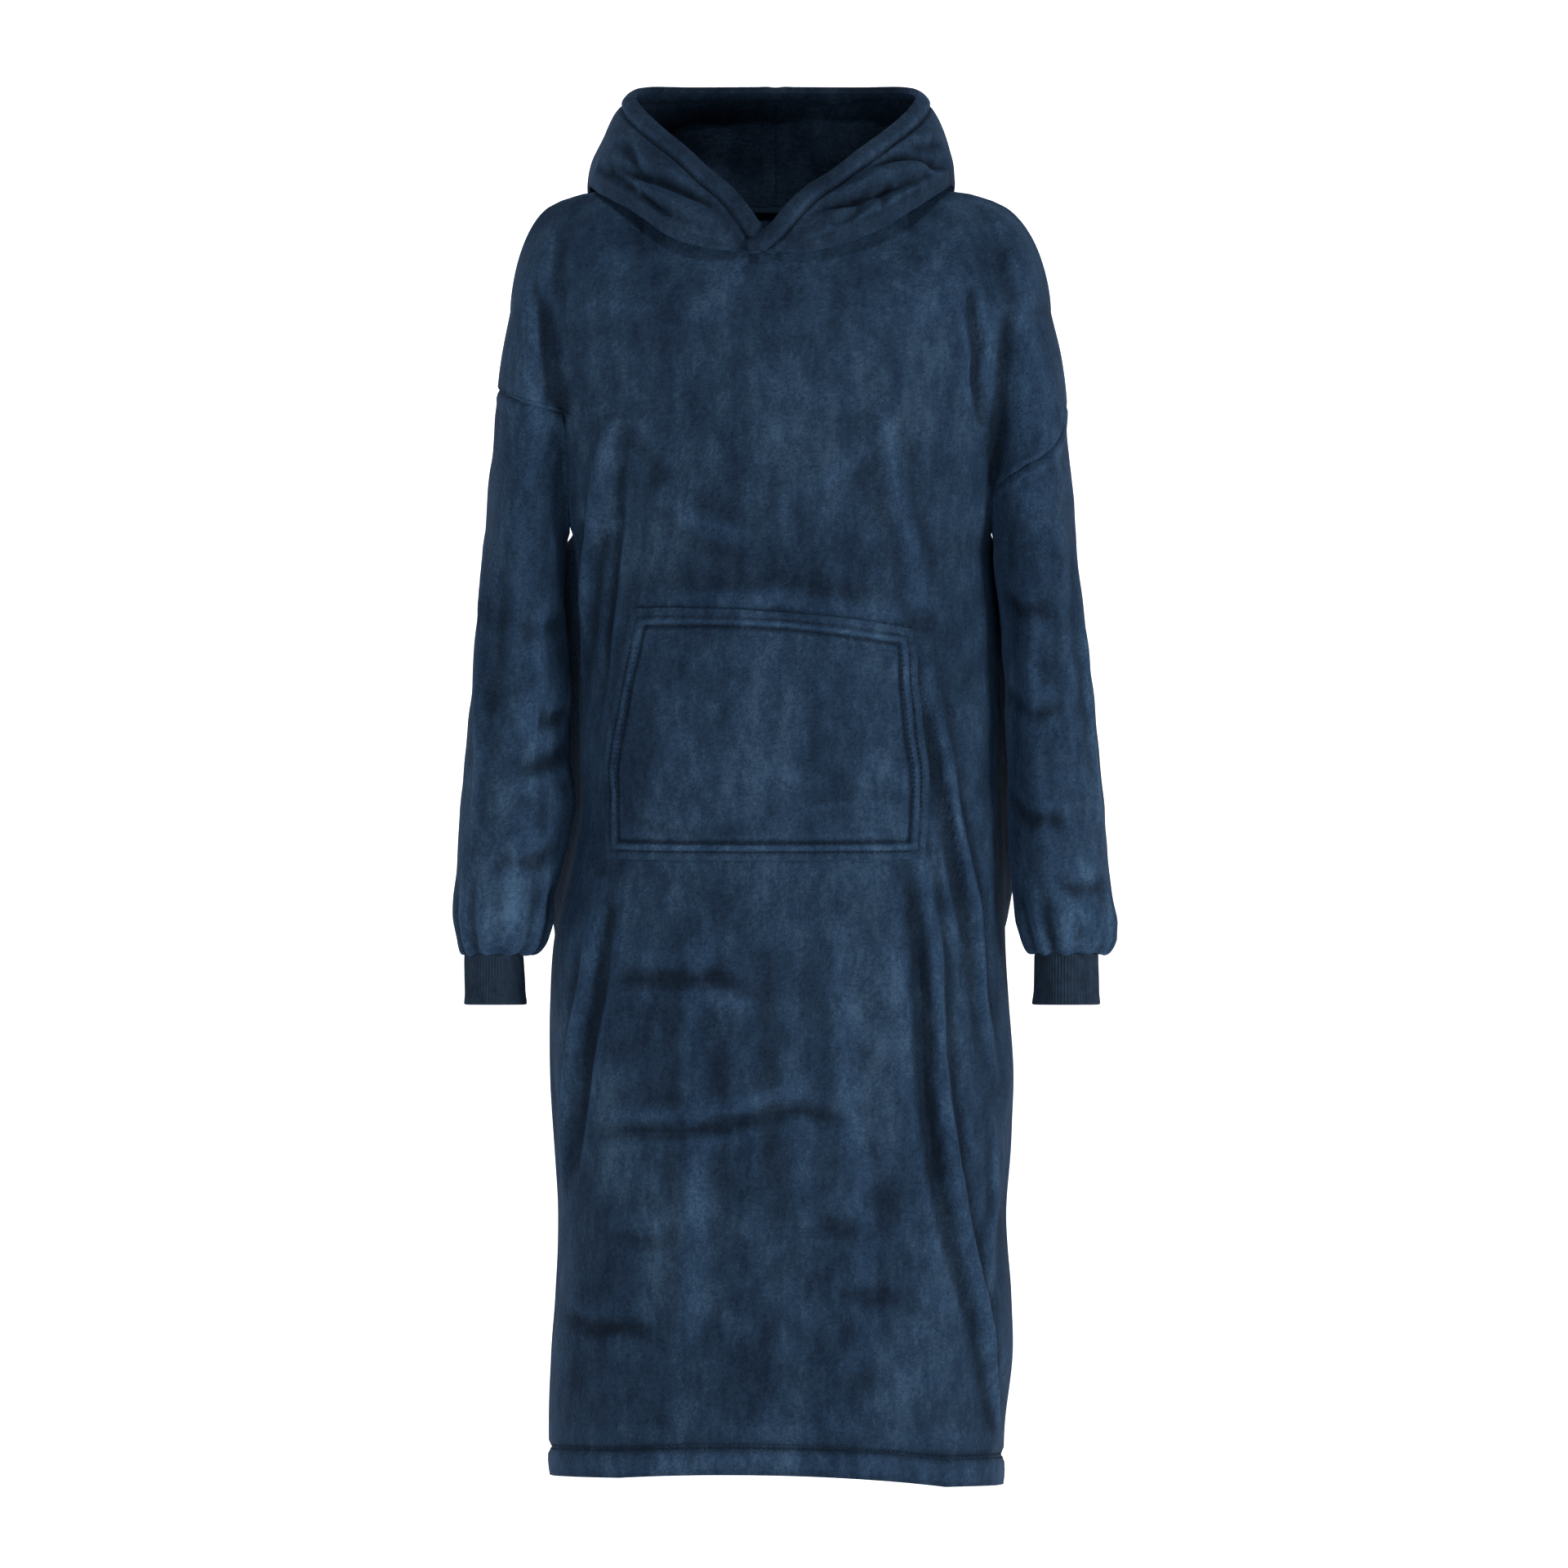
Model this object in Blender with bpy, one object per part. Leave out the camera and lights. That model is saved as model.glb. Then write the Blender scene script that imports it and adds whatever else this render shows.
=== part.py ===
# Long hooded pullover of thick plush fleece, filled out as if worn.
# Metres, Z up. The front faces -Y and the wearer's left hand is at +X.
# The origin is the middle of the neck opening, at the height where the garment rests on the shoulders.

import math

import bpy
import numpy as np
from mathutils import Vector
from mathutils.bvhtree import BVHTree

# Driving sizes

wall = 0.0030          # thickness of the fleece with its pile
hem_wall = 0.0056      # where the fleece is turned up and lies double
hem_depth = 0.025      # height of the turned-up hem
seam_gap = 0.0003      # left between two pieces that are sewn together
pit = -0.280           # height of the armpits
yoke = -0.100          # height where the shoulders start to round over
cuff_top = -0.637
cuff_end = -0.693
cuff_ribs = 66         # raised ribs round one cuff
cuff_wall = 0.0036     # two layers of rib knit
rib_height = 0.0007
sleeve_columns = 24
seam_steps = sleeve_columns // 2
side_columns = 9       # columns from a side seam to the line of the pocket's edge
middle_columns = 12    # columns between the two pocket lines

fleece_colour = (0.020, 0.040, 0.075)
rib_colour = (0.014, 0.030, 0.056)

# The body, by height: half widths left and right of the middle, depths to the front and back.
body_sizes = [
    # z      left    right   front   back
    (-1.110, 0.1925, 0.1940, 0.1500, 0.1450),
    (-1.050, 0.1940, 0.1955, 0.1500, 0.1450),
    (-0.995, 0.1920, 0.2020, 0.1480, 0.1440),
    (-0.940, 0.1880, 0.2010, 0.1460, 0.1430),
    (-0.870, 0.1858, 0.1965, 0.1440, 0.1410),
    (-0.812, 0.1895, 0.2010, 0.1430, 0.1400),
    (-0.755, 0.1930, 0.2025, 0.1420, 0.1390),
    (-0.690, 0.1925, 0.1985, 0.1400, 0.1380),
    (-0.640, 0.1895, 0.1960, 0.1390, 0.1370),
    (-0.605, 0.1825, 0.1950, 0.1380, 0.1360),
    (-0.570, 0.1740, 0.1940, 0.1370, 0.1350),
    (-0.530, 0.1665, 0.1925, 0.1360, 0.1340),
    (-0.475, 0.1655, 0.1915, 0.1350, 0.1320),
    (-0.420, 0.1650, 0.1905, 0.1340, 0.1290),
    (-0.375, 0.1650, 0.1880, 0.1330, 0.1270),
    (-0.335, 0.1670, 0.1840, 0.1310, 0.1250),
    (-0.300, 0.1705, 0.1825, 0.1290, 0.1230),
    (-0.280, 0.1765, 0.1855, 0.1280, 0.1220),
    (-0.250, 0.1850, 0.1915, 0.1260, 0.1210),
    (-0.220, 0.1920, 0.1975, 0.1250, 0.1200),
    (-0.180, 0.2000, 0.2060, 0.1230, 0.1190),
    (-0.140, 0.2070, 0.2150, 0.1210, 0.1170),
    (-0.100, 0.2130, 0.2230, 0.1190, 0.1150),
]

# One arm, by height: its outer and inner sides, its depths to the front and back, and its middle from front to back.
left_arm_sizes = [
    # z      outer   inner   front   back    middle
    (-0.100, 0.2268, 0.1700, 0.0620, 0.0620, 0.000),
    (-0.140, 0.2345, 0.1690, 0.0670, 0.0660, 0.000),
    (-0.164, 0.2378, 0.1690, 0.0690, 0.0680, 0.000),
    (-0.203, 0.2400, 0.1700, 0.0710, 0.0700, 0.000),
    (-0.245, 0.2450, 0.1730, 0.0730, 0.0720, 0.000),
    (-0.280, 0.2485, 0.1765, 0.0740, 0.0730, 0.000),
    (-0.310, 0.2510, 0.1830, 0.0740, 0.0730, -0.002),
    (-0.367, 0.2567, 0.1800, 0.0730, 0.0710, -0.006),
    (-0.420, 0.2605, 0.1745, 0.0710, 0.0690, -0.010),
    (-0.470, 0.2650, 0.1760, 0.0680, 0.0660, -0.014),
    (-0.520, 0.2695, 0.1720, 0.0650, 0.0620, -0.018),
    (-0.560, 0.2730, 0.1785, 0.0620, 0.0590, -0.022),
    (-0.600, 0.2750, 0.1880, 0.0580, 0.0550, -0.026),
    (-0.623, 0.2737, 0.1915, 0.0530, 0.0510, -0.028),
    (-0.636, 0.2710, 0.1960, 0.0480, 0.0470, -0.029),
]
right_arm_sizes = [
    (-0.100, 0.2352, 0.1760, 0.0620, 0.0620, 0.000),
    (-0.140, 0.2443, 0.1760, 0.0670, 0.0660, 0.000),
    (-0.176, 0.2490, 0.1765, 0.0700, 0.0690, 0.000),
    (-0.203, 0.2502, 0.1780, 0.0710, 0.0700, 0.000),
    (-0.245, 0.2540, 0.1815, 0.0730, 0.0720, 0.000),
    (-0.280, 0.2570, 0.1855, 0.0740, 0.0730, 0.000),
    (-0.310, 0.2595, 0.1890, 0.0740, 0.0730, -0.002),
    (-0.371, 0.2670, 0.1935, 0.0730, 0.0710, -0.006),
    (-0.420, 0.2715, 0.1960, 0.0710, 0.0690, -0.010),
    (-0.475, 0.2762, 0.1965, 0.0680, 0.0660, -0.014),
    (-0.530, 0.2812, 0.1985, 0.0650, 0.0620, -0.018),
    (-0.570, 0.2850, 0.2010, 0.0620, 0.0590, -0.022),
    (-0.605, 0.2885, 0.2045, 0.0580, 0.0550, -0.026),
    (-0.623, 0.2905, 0.2070, 0.0530, 0.0510, -0.028),
    (-0.636, 0.2895, 0.2110, 0.0480, 0.0470, -0.029),
]

# An armhole seam, from the outside of the arm (0) to the armpit (1): its height, and how far it has gone
# round from the outer side of the arm (0) to the crease between arm and body (1).
left_armhole = [
    # step  z       round
    (0.00, -0.1640, 0.00),
    (0.25, -0.1715, 0.45),
    (0.50, -0.1870, 1.00),
    (1.00, -0.2800, 1.00),
]
right_armhole = [
    (0.00, -0.1760, 0.00),
    (0.30, -0.2080, 0.35),
    (0.80, -0.2520, 1.00),
    (1.00, -0.2800, 1.00),
]

# The two lines that the panels' columns follow. In front they are also the pocket's sides.
column_lines = [
    # z      left     right
    (-1.110, -0.1330, 0.1450),
    (-0.900, -0.1400, 0.1400),
    (-0.700, -0.1420, 0.1320),
    (-0.568, -0.1414, 0.1253),
    (-0.510, -0.1405, 0.1278),
    (-0.450, -0.1330, 0.1205),
    (-0.372, -0.1210, 0.1158),
    (-0.280, -0.1170, 0.1150),
    (-0.100, -0.1180, 0.1200),
]

# Rows of the panels below the armpits: heights at the left line, at the middle and at the right line.
low_rows = [
    # left    middle   right
    (-1.0960, -1.0935, -1.1040),
    (-1.0715, -1.0700, -1.0780),
    (-1.0690, -1.0675, -1.0755),
    (-1.0050, -1.0050, -1.0080),
    (-0.9300, -0.9300, -0.9300),
    (-0.8550, -0.8550, -0.8550),
    (-0.7800, -0.7800, -0.7800),
    (-0.7050, -0.7050, -0.7050),
    (-0.6350, -0.6350, -0.6350),
    (-0.5680, -0.5695, -0.5680),
    (-0.5100, -0.5100, -0.5100),
    (-0.4550, -0.4550, -0.4550),
    (-0.4050, -0.4050, -0.4080),
    (-0.3545, -0.3560, -0.3720),
    (-0.3170, -0.3170, -0.3220),
]
pocket_bottom_row = 9
pocket_top_row = 13

# Folds of the body: height of the ridge above the cloth round it, its half width, and its path as (z, x).
front_folds = [
    {
        "height": 0.0130, "width": 0.0125,
        "path": [(-0.560, 0.124), (-0.674, 0.134), (-0.781, 0.140), (-0.888, 0.158), (-0.974, 0.178), (-1.060, 0.190)],
    },
    {
        "height": 0.0060, "width": 0.0100,
        "path": [(-0.400, 0.129), (-0.475, 0.142), (-0.542, 0.153), (-0.603, 0.168), (-0.689, 0.176), (-0.760, 0.187)],
    },
    {
        "height": 0.0060, "width": 0.0110,
        "path": [(-0.580, -0.146), (-0.652, -0.158), (-0.752, -0.175), (-0.860, -0.182)],
    },
    {
        "height": 0.0070, "width": 0.0120,
        "path": [(-0.190, -0.142), (-0.232, -0.147), (-0.327, -0.157), (-0.420, -0.163)],
    },
    {
        "height": 0.0035, "width": 0.0140,
        "path": [(-0.170, 0.092), (-0.233, 0.100), (-0.322, 0.117), (-0.360, 0.122)],
    },
]
back_folds = [
    {
        "height": 0.0100, "width": 0.0150,
        "path": [(-0.520, -0.120), (-0.700, -0.134), (-0.900, -0.150), (-1.060, -0.160)],
    },
    {
        "height": 0.0070, "width": 0.0170,
        "path": [(-0.480, 0.060), (-0.700, 0.078), (-0.900, 0.100), (-1.040, 0.112)],
    },
    {
        "height": 0.0060, "width": 0.0130,
        "path": [(-0.200, 0.140), (-0.300, 0.146), (-0.420, 0.158), (-0.520, 0.168)],
    },
    {
        "height": 0.0055, "width": 0.0150,
        "path": [(-0.200, -0.135), (-0.290, -0.140), (-0.400, -0.150), (-0.500, -0.158)],
    },
]

# The neck seam: half width at the shoulder, depths, and heights.
neck_half_width = 0.108
neck_front = 0.100
neck_back = 0.070
neck_side_z = 0.010
neck_front_z = -0.045
neck_back_z = 0.006
# Where the shoulder line starts at the outer end, then its height by distance from the middle.
left_shoulder = [(0.194, -0.011), (0.178, -0.003), (0.160, 0.002), (0.135, 0.006), (0.108, 0.010)]
right_shoulder = [(0.196, -0.011), (0.176, -0.003), (0.160, 0.002), (0.135, 0.006), (0.108, 0.010)]

# The hood, from the front opening (0) to the middle of the back (1): its rim, two bulges below it, and the
# lowest place of the fold that lies over the shoulders. Each is (across, front to back, up).
hood_stations = [
    {"along": 0.00, "rim": (0.014, -0.106, -0.030), "upper": (0.014, -0.107, -0.034),
     "lower": (0.014, -0.106, -0.038), "fold": (0.012, -0.104, -0.041)},
    {"along": 0.15, "rim": (0.034, -0.094, -0.008), "upper": (0.046, -0.102, -0.016),
     "lower": (0.052, -0.110, -0.030), "fold": (0.050, -0.112, -0.044)},
    {"along": 0.30, "rim": (0.062, -0.070, 0.022), "upper": (0.080, -0.082, 0.010),
     "lower": (0.094, -0.099, -0.010), "fold": (0.093, -0.106, -0.034)},
    {"along": 0.42, "rim": (0.088, -0.038, 0.050), "upper": (0.110, -0.046, 0.040),
     "lower": (0.134, -0.064, 0.012), "fold": (0.134, -0.074, -0.014)},
    {"along": 0.50, "rim": (0.108, -0.004, 0.075), "upper": (0.131, -0.006, 0.060),
     "lower": (0.157, -0.014, 0.026), "fold": (0.160, -0.018, 0.006)},
    {"along": 0.57, "rim": (0.116, 0.014, 0.089), "upper": (0.136, 0.020, 0.064),
     "lower": (0.158, 0.024, 0.022), "fold": (0.158, 0.030, -0.002)},
    {"along": 0.66, "rim": (0.116, 0.042, 0.092), "upper": (0.137, 0.058, 0.062),
     "lower": (0.152, 0.072, 0.010), "fold": (0.144, 0.082, -0.032)},
    {"along": 0.82, "rim": (0.078, 0.076, 0.093), "upper": (0.094, 0.108, 0.060),
     "lower": (0.108, 0.136, -0.012), "fold": (0.094, 0.136, -0.095)},
    {"along": 1.00, "rim": (0.000, 0.086, 0.094), "upper": (0.000, 0.124, 0.060),
     "lower": (0.000, 0.158, -0.030), "fold": (0.000, 0.152, -0.142)},
]
hood_steps = 24        # two to each column of the neck seam
hood_rows = 15
hood_fold_height = 0.0035
hood_clearance = 0.0065  # from the panels' outside to the middle of the hood's wall
rim_width = 0.016

# Reading the tables


def read(table, place, column):
    """Value of a table's column at a place along its first column, on a smooth curve through the rows."""
    rows = sorted(table)
    at = np.array([row[0] for row in rows])
    value = np.array([row[column] for row in rows])
    slope = np.gradient(value, at)
    place = np.clip(np.asarray(place, float), at[0], at[-1])
    index = np.clip(np.searchsorted(at, place, side="right") - 1, 0, len(at) - 2)
    span = at[index + 1] - at[index]
    part = (place - at[index]) / span
    rise = value[index + 1] - value[index]
    start = slope[index] * span
    end = slope[index + 1] * span
    bend = start - 2.0 * rise + end
    lean = 3.0 * rise - 2.0 * start - end
    return value[index] + part * (start + part * (lean + part * bend))


def lengths(points):
    steps = np.linalg.norm(np.diff(points, axis=0), axis=1)
    return np.concatenate([[0.0], np.cumsum(steps)])


def at_lengths(points, along, wanted):
    return np.stack([np.interp(wanted, along, points[:, axis]) for axis in range(points.shape[1])], axis=-1)


def softened(points, radius):
    """The polyline with its corner rounded over this radius; its ends stay where they are."""
    along = lengths(points)
    count = 401
    step = along[-1] / (count - 1)
    even = at_lengths(points, along, np.linspace(0.0, along[-1], count))
    reach = max(1, int(3.0 * radius / step))
    weights = np.exp(-0.5 * (np.arange(-reach, reach + 1) * step / radius) ** 2)
    weights /= weights.sum()
    before = 2.0 * even[0] - even[reach:0:-1]
    after = 2.0 * even[-1] - even[-2 : -reach - 2 : -1]
    padded = np.concatenate([before, even, after])
    return np.stack([np.convolve(padded[:, axis], weights, mode="valid") for axis in range(2)], axis=1)


# The body's form: one section of a panel at a height


def body_edge(z, side):
    return read(body_sizes, z, 1 if side < 0 else 2)


# how far the back stands out sideways behind the arms, by height: left, right
back_swells = [
    (-1.110, 0.0000, 0.0000),
    (-0.700, 0.0000, 0.0000),
    (-0.650, 0.0020, 0.0020),
    (-0.623, 0.0160, 0.0150),
    (-0.600, 0.0230, 0.0200),
    (-0.560, 0.0270, 0.0280),
    (-0.470, 0.0310, 0.0280),
    (-0.370, 0.0340, 0.0280),
    (-0.330, 0.0330, 0.0270),
    (-0.310, 0.0300, 0.0250),
    (-0.298, 0.0220, 0.0180),
    (-0.287, 0.0060, 0.0050),
    (-0.280, 0.0000, 0.0000),
]


def half_section(z, side, face):
    """Plan of one panel from the outer side of the arm to the middle, and how far along it the crease is."""
    width = float(body_edge(z, side))
    depth = float(read(body_sizes, z, 3 if face < 0 else 4))
    power = 2.0 / 2.25
    turn = np.linspace(0.0, 0.5 * math.pi, 240)
    body_x = width * np.cos(turn) ** power
    body_y = depth * np.sin(turn) ** power
    if z <= pit:
        if face > 0:
            swell = np.interp(z, [row[0] for row in back_swells], [row[1 if side < 0 else 2] for row in back_swells])
            body_x = body_x + swell * np.sin(math.pi * np.clip(turn / math.radians(50.0), 0.0, 1.0)) ** 2
        points = np.stack([side * body_x, face * body_y], axis=1)
        return points, 0.0
    arm = left_arm_sizes if side < 0 else right_arm_sizes
    outer = float(read(arm, z, 1))
    inner = float(read(arm, z, 2))
    arm_depth = float(read(arm, z, 3 if face < 0 else 4))
    round_arm = np.linspace(0.0, math.pi, 360)
    arm_x = 0.5 * (outer + inner) + 0.5 * (outer - inner) * np.cos(round_arm)
    arm_y = arm_depth * np.sin(round_arm)
    body_at_arm = np.interp(arm_x, body_x[::-1], body_y[::-1], right=0.0)
    past = (round_arm > 0.5 * math.pi) & (body_at_arm >= arm_y)
    last = int(np.argmax(past)) if past.any() else len(arm_x) - 1
    keep = body_x < arm_x[last]
    x = np.concatenate([arm_x[: last + 1], body_x[keep]])
    y = np.concatenate([arm_y[: last + 1], body_y[keep]])
    points = np.stack([side * x, face * y], axis=1)
    radius = min(0.007, 0.10 * arm_y[last] + 0.0002)
    crease = lengths(points)[last] / lengths(points)[-1]
    return softened(points, radius), crease


def fold_lift(points, along, z, folds):
    """How far the folds push each point of a section outwards."""
    lift = np.zeros(len(points))
    for fold in folds:
        heights = [row[0] for row in fold["path"]]
        if not min(heights) < z < max(heights):
            continue
        middle = np.interp(float(read(fold["path"], z, 1)), points[:, 0], along)
        fade = math.sin(math.pi * (z - min(heights)) / (max(heights) - min(heights))) ** 0.6
        t = (along - middle) / fold["width"]
        lift += fold["height"] * fade * (1.0 - 0.5 * t * t) * np.exp(-0.5 * t * t)
    from_ends = np.minimum(along, along[-1] - along)
    return lift * np.clip(from_ends / 0.012, 0.0, 1.0)


def section(z, face):
    """A whole section of a panel, left to right, read off at even steps between its five landmarks."""
    left, left_crease = half_section(z, -1.0, face)
    right, right_crease = half_section(z, 1.0, face)
    left_length = lengths(left)[-1]
    right_length = lengths(right)[-1]
    points = np.concatenate([left, right[-2::-1]])
    along = lengths(points)
    tangent = np.gradient(points, axis=0)
    normal = np.stack([-tangent[:, 1], tangent[:, 0]], axis=1) * face
    normal /= np.maximum(np.linalg.norm(normal, axis=1), 1e-12)[:, None]
    folds = front_folds if face < 0 else back_folds
    lifted = points + normal * fold_lift(points, along, z, folds)[:, None]
    marks = [
        0.0,
        left_crease * left_length,
        float(np.interp(read(column_lines, z, 1), points[:, 0], along)),
        float(np.interp(read(column_lines, z, 2), points[:, 0], along)),
        along[-1] - right_crease * right_length,
        along[-1],
    ]
    steps = np.linspace(0.0, 5.0, 5 * marks_per_part + 1)
    return at_lengths(lifted, along, np.interp(steps, np.arange(6), marks))


marks_per_part = 40
levels = np.concatenate([np.arange(-1.110, pit, 0.010), np.linspace(pit, pit + 0.020, 11)[1:], np.arange(pit + 0.024, yoke + 0.001, 0.004)])
levels = np.insert(levels, np.searchsorted(levels, pit), pit)


def surface_of(face):
    return np.stack([section(z, face) for z in levels])


def on_surface(surface, z, q):
    """Points of a panel's form at heights z and places q: 0 and 5 are the outer sides of the arms,
    1 and 4 the creases at the arms, 2 and 3 the column lines."""
    z = np.asarray(z, float)
    q = np.asarray(q, float)
    row = np.clip(np.searchsorted(levels, z, side="right") - 1, 0, len(levels) - 2)
    up = np.clip((z - levels[row]) / (levels[row + 1] - levels[row]), 0.0, 1.0)[..., None]
    place = q * marks_per_part
    column = np.clip(place.astype(int), 0, surface.shape[1] - 2)
    across = (place - column)[..., None]
    below = surface[row, column] * (1.0 - across) + surface[row, column + 1] * across
    above = surface[row + 1, column] * (1.0 - across) + surface[row + 1, column + 1] * across
    plan = below * (1.0 - up) + above * up
    return np.concatenate([plan, z[..., None]], axis=-1)


def armhole(side, step):
    table = left_armhole if side < 0 else right_armhole
    at = [row[0] for row in table]
    return np.interp(step, at, [row[1] for row in table]), np.interp(step, at, [row[2] for row in table])


def ease(t):
    return t * t * (3.0 - 2.0 * t)


# Rows of a panel, from the hem to the neck


def low_row(surface, heights):
    q = np.concatenate([
        np.linspace(1.0, 2.0, side_columns + 1)[:-1],
        np.linspace(2.0, 3.0, middle_columns + 1)[:-1],
        np.linspace(3.0, 4.0, side_columns + 1),
    ])
    bend = np.polyfit([2.0, 2.5, 3.0], heights, 2)
    z = np.polyval(bend, np.clip(q, 2.0, 3.0))
    return on_surface(surface, z, q)


def high_row(surface, left_z, left_round, middle_z, right_z, right_round):
    """A row above the armpits, which ends on the two armhole seams or over the two arms."""
    left_q = np.linspace(left_round, 2.0, side_columns + 1)[:-1]
    middle_q = np.linspace(2.0, 3.0, middle_columns + 1)[:-1]
    right_q = np.linspace(3.0, 5.0 - right_round, side_columns + 1)
    if left_round < 1.0:
        left_q[np.argmin(np.abs(left_q[1:] - 1.0)) + 1] = 1.0
    if right_round < 1.0:
        right_q[np.argmin(np.abs(right_q[:-1] - 4.0))] = 4.0
    left_part = ease((2.0 - left_q) / (2.0 - left_round))
    right_part = ease((right_q - 3.0) / (2.0 - right_round))
    z = np.concatenate([
        middle_z + (left_z - middle_z) * left_part,
        np.full(middle_columns, middle_z),
        middle_z + (right_z - middle_z) * right_part,
    ])
    return on_surface(surface, z, np.concatenate([left_q, middle_q, right_q]))


def neck_point(turn, face):
    """Neck seam, from the right shoulder (0) through the middle of the front or back (0.5) to the left one (1)."""
    angle = turn * math.pi
    power = 2.0 / 2.2
    across = neck_half_width * np.sign(np.cos(angle)) * np.abs(np.cos(angle)) ** power
    out = np.sin(angle) ** power
    depth = neck_front if face < 0 else neck_back
    end_z = neck_front_z if face < 0 else neck_back_z
    return np.stack([across, face * depth * out, neck_side_z + (end_z - neck_side_z) * out ** 1.4], axis=-1)


def top_row(face):
    part = np.linspace(0.0, 1.0, side_columns + 1)
    rows = []
    for side, table in ((-1.0, left_shoulder), (1.0, right_shoulder)):
        across = np.array([row[0] for row in table])
        height = np.array([row[1] for row in table])
        x = across[0] + (across[-1] - across[0]) * part
        z = np.interp(-x, -across, height)
        rows.append(np.stack([side * x, np.zeros(len(x)), z], axis=1))
    neck = neck_point(np.linspace(1.0, 0.0, middle_columns + 1), face)
    return np.concatenate([rows[0][:-1], neck, rows[1][::-1][1:]])


def yoke_rows(base, top, count):
    """Rows that round over from the top of the chest to the shoulder seam and the neck seam."""
    columns = np.arange(len(base))
    from_side = np.minimum(columns, len(base) - 1 - columns) / side_columns
    power = 2.0 / (1.15 + 0.60 * (1.0 - ease(np.clip(from_side - 0.6, 0.0, 0.8) / 0.8)))
    rows = []
    for step in range(1, count + 1):
        angle = 0.5 * math.pi * step / count
        level = (math.cos(angle) ** power if step < count else np.zeros(len(base)))[:, None]
        rise = math.sin(angle) ** power
        plan = top[:, :2] + (base[:, :2] - top[:, :2]) * level
        z = base[:, 2] + (top[:, 2] - base[:, 2]) * rise
        rows.append(np.concatenate([plan, z[:, None]], axis=1))
    return rows


def panel_grid(face):
    surface = surface_of(face)
    rows = [low_row(surface, heights) for heights in low_rows]
    for step in np.linspace(1.0, 0.0, seam_steps + 1):
        left_z, left_round = armhole(-1.0, step)
        right_z, right_round = armhole(1.0, step)
        middle_z = pit + (1.0 - step) * (-0.165 - pit)
        rows.append(high_row(surface, left_z, left_round, middle_z, right_z, right_round))
    rows.append(high_row(surface, -0.133, 0.0, -0.133, -0.138, 0.0))
    base = high_row(surface, yoke, 0.0, yoke, yoke, 0.0)
    rows.append(base)
    rows.extend(yoke_rows(base, top_row(face), 4))
    return surface, np.stack(rows)


def grid_normals(grid, face, closed=False):
    if closed:
        across = np.roll(grid, -1, axis=1) - np.roll(grid, 1, axis=1)
    else:
        across = np.gradient(grid, axis=1)
    up = np.gradient(grid, axis=0)
    normal = np.cross(across, up) * -face
    return normal / np.maximum(np.linalg.norm(normal, axis=2), 1e-9)[..., None]


# Meshes


def add_object(name, vertices, faces, material):
    mesh = bpy.data.meshes.new(name)
    mesh.from_pydata([tuple(map(float, vertex)) for vertex in vertices], [], faces)
    mesh.materials.append(material)
    mesh.update()
    piece = bpy.data.objects.new(name, mesh)
    collection.objects.link(piece)
    return piece


def add_wall(name, outer, inner, material, closed=False, flip=False):
    """A cloth wall between two grids of points, closed round its edges."""
    rows, columns = outer.shape[:2]
    count = rows * columns
    vertices = np.concatenate([outer.reshape(-1, 3), inner.reshape(-1, 3)])
    faces = []
    spans = columns if closed else columns - 1

    def corner(row, column, layer):
        return layer * count + row * columns + column % columns

    for row in range(rows - 1):
        for column in range(spans):
            a, b, c, d = (row, column), (row, column + 1), (row + 1, column + 1), (row + 1, column)
            halves = ((a, b, c), (a, c, d)) if column < spans // 2 else ((a, b, d), (b, c, d))
            for triangle in halves:
                faces.append([corner(*place, 0) for place in triangle])
                faces.append([corner(*place, 1) for place in reversed(triangle)])
    for column in range(spans):
        faces.append([corner(0, column, 0), corner(0, column, 1), corner(0, column + 1, 1), corner(0, column + 1, 0)])
        last = rows - 1
        faces.append([corner(last, column + 1, 0), corner(last, column + 1, 1), corner(last, column, 1), corner(last, column, 0)])
    if not closed:
        for row in range(rows - 1):
            faces.append([corner(row + 1, 0, 0), corner(row + 1, 0, 1), corner(row, 0, 1), corner(row, 0, 0)])
            end = columns - 1
            faces.append([corner(row, end, 0), corner(row, end, 1), corner(row + 1, end, 1), corner(row + 1, end, 0)])
    if flip:
        faces = [face[::-1] for face in faces]
    return add_object(name, vertices, faces, material)


def add_material(name, colour, roughness):
    material = bpy.data.materials.new(name)
    material.use_nodes = True
    shader = material.node_tree.nodes["Principled BSDF"]
    shader.inputs["Base Color"].default_value = (*colour, 1.0)
    shader.inputs["Roughness"].default_value = roughness
    shader.inputs["Metallic"].default_value = 0.0
    return material


def armhole_seam(side, surface, face):
    """Points of an armhole seam from the outside of the arm to the armpit, which way the cloth faces there,
    and which way the panel lies from the seam."""
    step = np.linspace(0.0, 1.0, seam_steps + 1)
    z, turned = armhole(side, step)
    points = on_surface(surface, z, turned if side < 0 else 5.0 - turned)
    beside = on_surface(surface, z, np.clip(turned + 0.03, 0, 1) if side < 0 else 5.0 - np.clip(turned + 0.03, 0, 1))
    before = on_surface(surface, z, np.clip(turned - 0.03, 0, 1) if side < 0 else 5.0 - np.clip(turned - 0.03, 0, 1))
    along = side * (before - beside)
    facing = np.stack([-along[:, 1] * face, along[:, 0] * face, np.zeros(len(z))], axis=1)
    facing /= np.maximum(np.linalg.norm(facing, axis=1), 1e-9)[:, None]
    facing[0] = (side, 0.0, 0.0)
    facing[-1] = (0.0, face, 0.0)
    tangent = np.gradient(points, axis=0)
    inward = np.cross(facing, tangent) * side * face
    inward /= np.linalg.norm(inward, axis=1)[:, None]
    return points, facing, inward


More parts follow.
